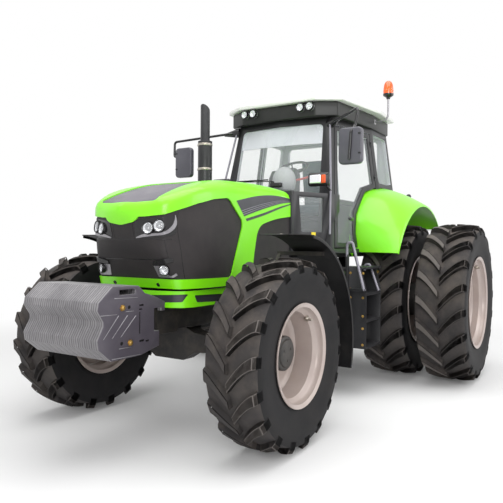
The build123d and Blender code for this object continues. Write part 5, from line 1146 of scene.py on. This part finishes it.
# ---- beacon ----
# Red-orange flashing lamp: a moulded lens on a dark collar, standing on a
# light bent tube bolted to the roof's side.
net = bmesh.new()
bent_tube(net, [(-1.175, 0.735, 2.95), (-1.175, 0.86, 2.952), (-1.175, 0.9, 3.0), (-1.175, 0.9, 3.205)],
    0.0115, 0.05)
block(net, (-1.175, 0.742, 2.95), (0.055, 0.012, 0.055), 0.004)
settle("beacon_stem", net, SILVER, "root", ("beacon",))
net = bmesh.new()
spun(net, [(0, 0), (0.02, 0.0), (0.024, 0.018), (0.05, 0.034), (0.059, 0.042), (0.06, 0.06),
    (0.052, 0.062), (0, 0.062)], (-1.175, 0.9, 3.196), (0, 0, 1), 40)
settle("beacon_collar", net, TRIM)
net = bmesh.new()
spun(net, [(0, 0), (0.0565, 0), (0.0575, 0.006), (0.056, 0.06), (0.05, 0.105), (0.038, 0.133),
    (0.02, 0.147), (0, 0.15)], (-1.175, 0.9, 3.255), (0, 0, 1), 40)
spun(net, [(0.057, 0.03), (0.0592, 0.034), (0.059, 0.04), (0.0565, 0.044)], (-1.175, 0.9, 3.255),
    (0, 0, 1), 40)
settle("beacon_lens", net, AMBER, "root")


# ---- mirrors ----
# Wide mirrors in moulded grey shells with two black clips on the back. Each
# hangs on a bent steel arm from a cone-shaped clamp at the pillar's head.
SHELL = finish("mirror_shell", (0.07, 0.068, 0.085), (0.09, 0.088, 0.106), (0.32, 0.44), 5, 420, 0.12,
    coat=0.15)
MIRROR = finish("mirror_glass", (0.85, 0.87, 0.88), (0.8, 0.82, 0.83), (0.02, 0.05), 4, 200, 0.01,
    metal=1.0)
MIRRORS = (
    # side, sign, middle of the shell, run of the arm
    ("left", 1, (0.106, 0.978, 2.462),
     ((-0.292, 0.6, 2.8), (-0.225, 0.655, 2.79), (0.055, 1.015, 2.828), (0.083, 1.035, 2.8),
      (0.078, 1.004, 2.655), (0.143, 0.992, 2.6), (0.145, 0.975, 2.33))),
    ("right", -1, (-0.058, -1.19, 2.472),
     ((-0.292, -0.6, 2.8), (-0.225, -0.655, 2.79), (-0.105, -1.38, 2.74), (-0.1, -1.382, 2.56),
      (-0.062, -1.24, 2.56))),
)
for side, sign, middle, path in MIRRORS:
    middle = Vector(middle)
    net = bmesh.new()
    ops.create_cube(net, size=1)
    ops.scale(net, vec=(0.062, 0.24, 0.35), verts=net.verts)
    bevel(net, [e for e in net.edges if abs(e.verts[0].co.x - e.verts[1].co.x) > 0.03], 0.045, 6)
    bevel(net, [e for e in net.edges if e.calc_face_angle(0) > 1.0], 0.014, 3)
    ops.translate(net, vec=middle, verts=net.verts)
    settle(f"mirror_shell_{side}", net, SHELL, "root",
        ("mirrors",) if sign > 0 else ())
    net = bmesh.new()
    block(net, middle - Vector((0.031, 0, 0)), (0.004, 0.2, 0.31), 0.0018)
    settle(f"mirror_glass_{side}", net, MIRROR, "root")
    net = bmesh.new()
    bent_tube(net, path, 0.014, 0.035)
    spun(net, [(0, 0.16), (0.016, 0.16), (0.05, 0.0), (0.052, -0.04), (0, -0.04)], path[0],
        Vector(path[2]) - Vector(path[1]), 24)
    for rise in (0.11, -0.075):
        block(net, middle + Vector((0.033, 0.098 * sign, rise)), (0.01, 0.026, 0.014), 0.003)
    settle(f"mirror_arm_{side}", net, TRIM)


# ---- interior ----
# Air-sprung seat with teal fabric cushions, a pale moulded dash dome over the
# steering console, and a rubber-rimmed hand wheel with three spokes.
FABRIC = finish("seat_fabric", (0.028, 0.09, 0.1), (0.04, 0.115, 0.125), (0.8, 0.95), 12, 600, 0.6,
    sheen=0.3)
DOME = finish("dash_dome", (0.4, 0.41, 0.42), (0.47, 0.48, 0.49), (0.45, 0.6), 6, 700, 0.1)


def cushion(name, middle, size, lean, bulge):
    """A bulging cushion with a seam groove round its border."""
    net = bmesh.new()
    ops.create_cube(net, size=1)
    ops.subdivide_edges(net, edges=list(net.edges), cuts=15, use_grid_fill=True)
    for v in net.verts:
        x, y, z = (2 * part for part in v.co)
        border = max(abs(x), abs(y))
        rise = bulge * (1 - x ** 4) * (1 - y ** 4)
        groove = 0.005 * exp(-((border - 0.8) / 0.05) ** 2) + 0.004 * exp(-(abs(y) - 0.45) ** 2 / 0.002)
        corner = max(0.0, border - 0.86) / 0.14
        v.co = (x * size[0] / 2 * (1 - 0.02 * z * z), y * size[1] / 2 * (1 - 0.02 * z * z),
            z * (size[2] / 2 - 0.018 * corner ** 2) + (rise - groove if z > 0.99 else 0))
    turn = Matrix.Translation(middle) @ Matrix.Rotation(radians(lean), 4, "Y")
    ops.transform(net, matrix=turn, verts=net.verts)
    ops.smooth_vert(net, verts=net.verts, factor=0.5, use_axis_x=True, use_axis_y=True, use_axis_z=True)
    ops.recalc_face_normals(net, faces=net.faces)
    return settle(name, net, FABRIC, "root", ("seat_cushions",), 60)


for piece in (cushion("seat_cushion", (-1.045, 0, 1.905), (0.5, 0.49, 0.115), -4, 0.02),
        cushion("seat_back", (-1.285, 0, 2.265), (0.6, 0.46, 0.105), 99, 0.018)):
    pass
soften("seat_base", 0.012, PLASTIC)
soften("steering_console", 0.018, PLASTIC)
net = bmesh.new()
ops.create_uvsphere(net, u_segments=40, v_segments=24, radius=1)
ops.bisect_plane(net, geom=whole(net), plane_co=(0, 0, -0.55), plane_no=(0, 0, -1), clear_outer=True)
ops.holes_fill(net, edges=[e for e in net.edges if e.is_boundary], sides=0)
ops.scale(net, vec=(0.11, 0.135, 0.165), verts=net.verts)
ops.translate(net, vec=(-0.235, 0.06, 2.2), verts=net.verts)
settle("dash_dome", net, DOME)
net = bmesh.new()
for side, sign in SIDES:
    block(net, (-0.72, sign * 0.5, 1.985), (0.62, 0.18, 0.06), 0.02)
    block(net, (-0.8, sign * 0.5, 1.705), (0.6, 0.16, 0.53), 0.03)
settle("side_consoles", net, PLASTIC)
RED = finish("red_knob", (0.62, 0.03, 0.025), (0.7, 0.045, 0.035), (0.25, 0.35), 20, 500, 0.05,
    coat=0.4)
net = bmesh.new()
bent_tube(net, [(-0.33, 0.15, 2.22), (-0.325, 0.24, 2.232), (-0.32, 0.31, 2.245)], 0.012, 0.02)
spun(net, [(0, 0.012), (0.01, 0.009), (0.015, 0), (0.01, -0.01), (0, -0.012)], (-0.32, 0.316, 2.245),
    (0, 1, 0), 20)
settle("shift_lever", net, RED)
net = bmesh.new()
tilt = Matrix.Translation((-0.54, 0, 2.385)) @ Matrix.Rotation(radians(30), 4, "Y")
ring = ops.create_circle(net, cap_ends=False, segments=16, radius=0.0145,
    matrix=Matrix.Translation((0.175, 0, 0)) @ Matrix.Rotation(pi / 2, 4, "X"))["verts"]
loop = ring + list(edges_at(ring))
ops.spin(net, geom=loop, cent=(0, 0, 0), axis=(0, 0, 1), dvec=(0, 0, 0), angle=2 * pi, steps=64,
    use_merge=True, use_duplicate=False)
weld(net)
for turn in (90, 210, 330):
    way = Vector((cos(radians(turn)), sin(radians(turn)), 0))
    bent_tube(net, [way * 0.03 + Vector((0, 0, -0.03)), way * 0.11 + Vector((0, 0, -0.018)),
        way * 0.172], 0.008)
spun(net, [(0, -0.004), (0.03, -0.006), (0.044, -0.018), (0.046, -0.04), (0.022, -0.06), (0.018, -0.1),
    (0, -0.1)], (0, 0, 0), (0, 0, 1), 32)
ops.transform(net, matrix=tilt, verts=net.verts)
settle("hand_wheel", net, PLASTIC, "hand_wheel", ("steering_wheel",))


# ---- exhaust, tank, steps ----
# Black exhaust silencer with clamp bands, moulded fuel tank, battery box, and
# the bolts that hold the folded step panels together.
soften("exhaust_stack", 0.003, CAB_BLACK, "root", 2, 35)
net = bmesh.new()
for z in (1.56, 1.8, 2.3, 2.56):
    spun(net, [(0.075, 0.0), (0.0775, 0.0), (0.079, 0.003), (0.079, 0.021), (0.0775, 0.024),
        (0.075, 0.024)], (0.34, -0.588, z), (0, 0, 1), 48)
    block(net, (0.34, -0.672, z + 0.012), (0.03, 0.022, 0.022), 0.004)
settle("exhaust_clamps", net, BOLT, "root")
soften("fuel_tank", 0.045, PLASTIC, "root", 5, 40)
soften("battery_box", 0.018, PLASTIC, "root", 3, 40)
net = bmesh.new()
for x in (-0.45, -0.04):
    out = 1 if x > -0.2 else -1
    for z in (0.54, 0.7, 0.82, 1.0, 1.08, 1.24):
        for y in (0.925, 1.055):
            spun(net, [(0, 0.006), (0.006, 0.006), (0.008, 0.004), (0.009, 0.001), (0.014, 0.001),
                (0.014, -0.001), (0, -0.001)], (x, y, z), (out, 0, 0), 8)
settle("step_bolts", net, BRASS, "root")
# a plain yellow patch is stuck on the cowl under the corner window
STICKER = finish("yellow_sticker", (0.86, 0.66, 0.02), (0.8, 0.6, 0.02), (0.4, 0.5), 9, 500, 0.05)
net = bmesh.new()
for side, sign in SIDES:
    block(net, (0.1004, sign * 0.5864, 1.612), (0.054, 0.0024, 0.054), 0.001,
        Matrix.Rotation(sign * radians(-25), 4, "Z"))
settle("cowl_sticker", net, STICKER)


# ---- small details ----
# A black tyre valve box is clipped inside each front rim's barrel, with its
# hose running in to the hub.
for side, sign in SIDES:
    net = bmesh.new()
    turn = radians(138)
    middle = round_axle(FRONT_AXLE, sign * 1.105, 0.338, turn)
    tipped = Matrix.Rotation(-turn, 4, "Y")
    block(net, middle, (0.026, 0.052, 0.06), 0.006, tipped)
    bent_tube(net, [middle, middle + Vector((0.05, -sign * 0.01, 0.055)),
        middle + Vector((0.05, -sign * 0.03, 0.058))], 0.004, 0.02)
    settle(f"valve_box_{side}", net, TRIM, f"front_wheel_{side}")
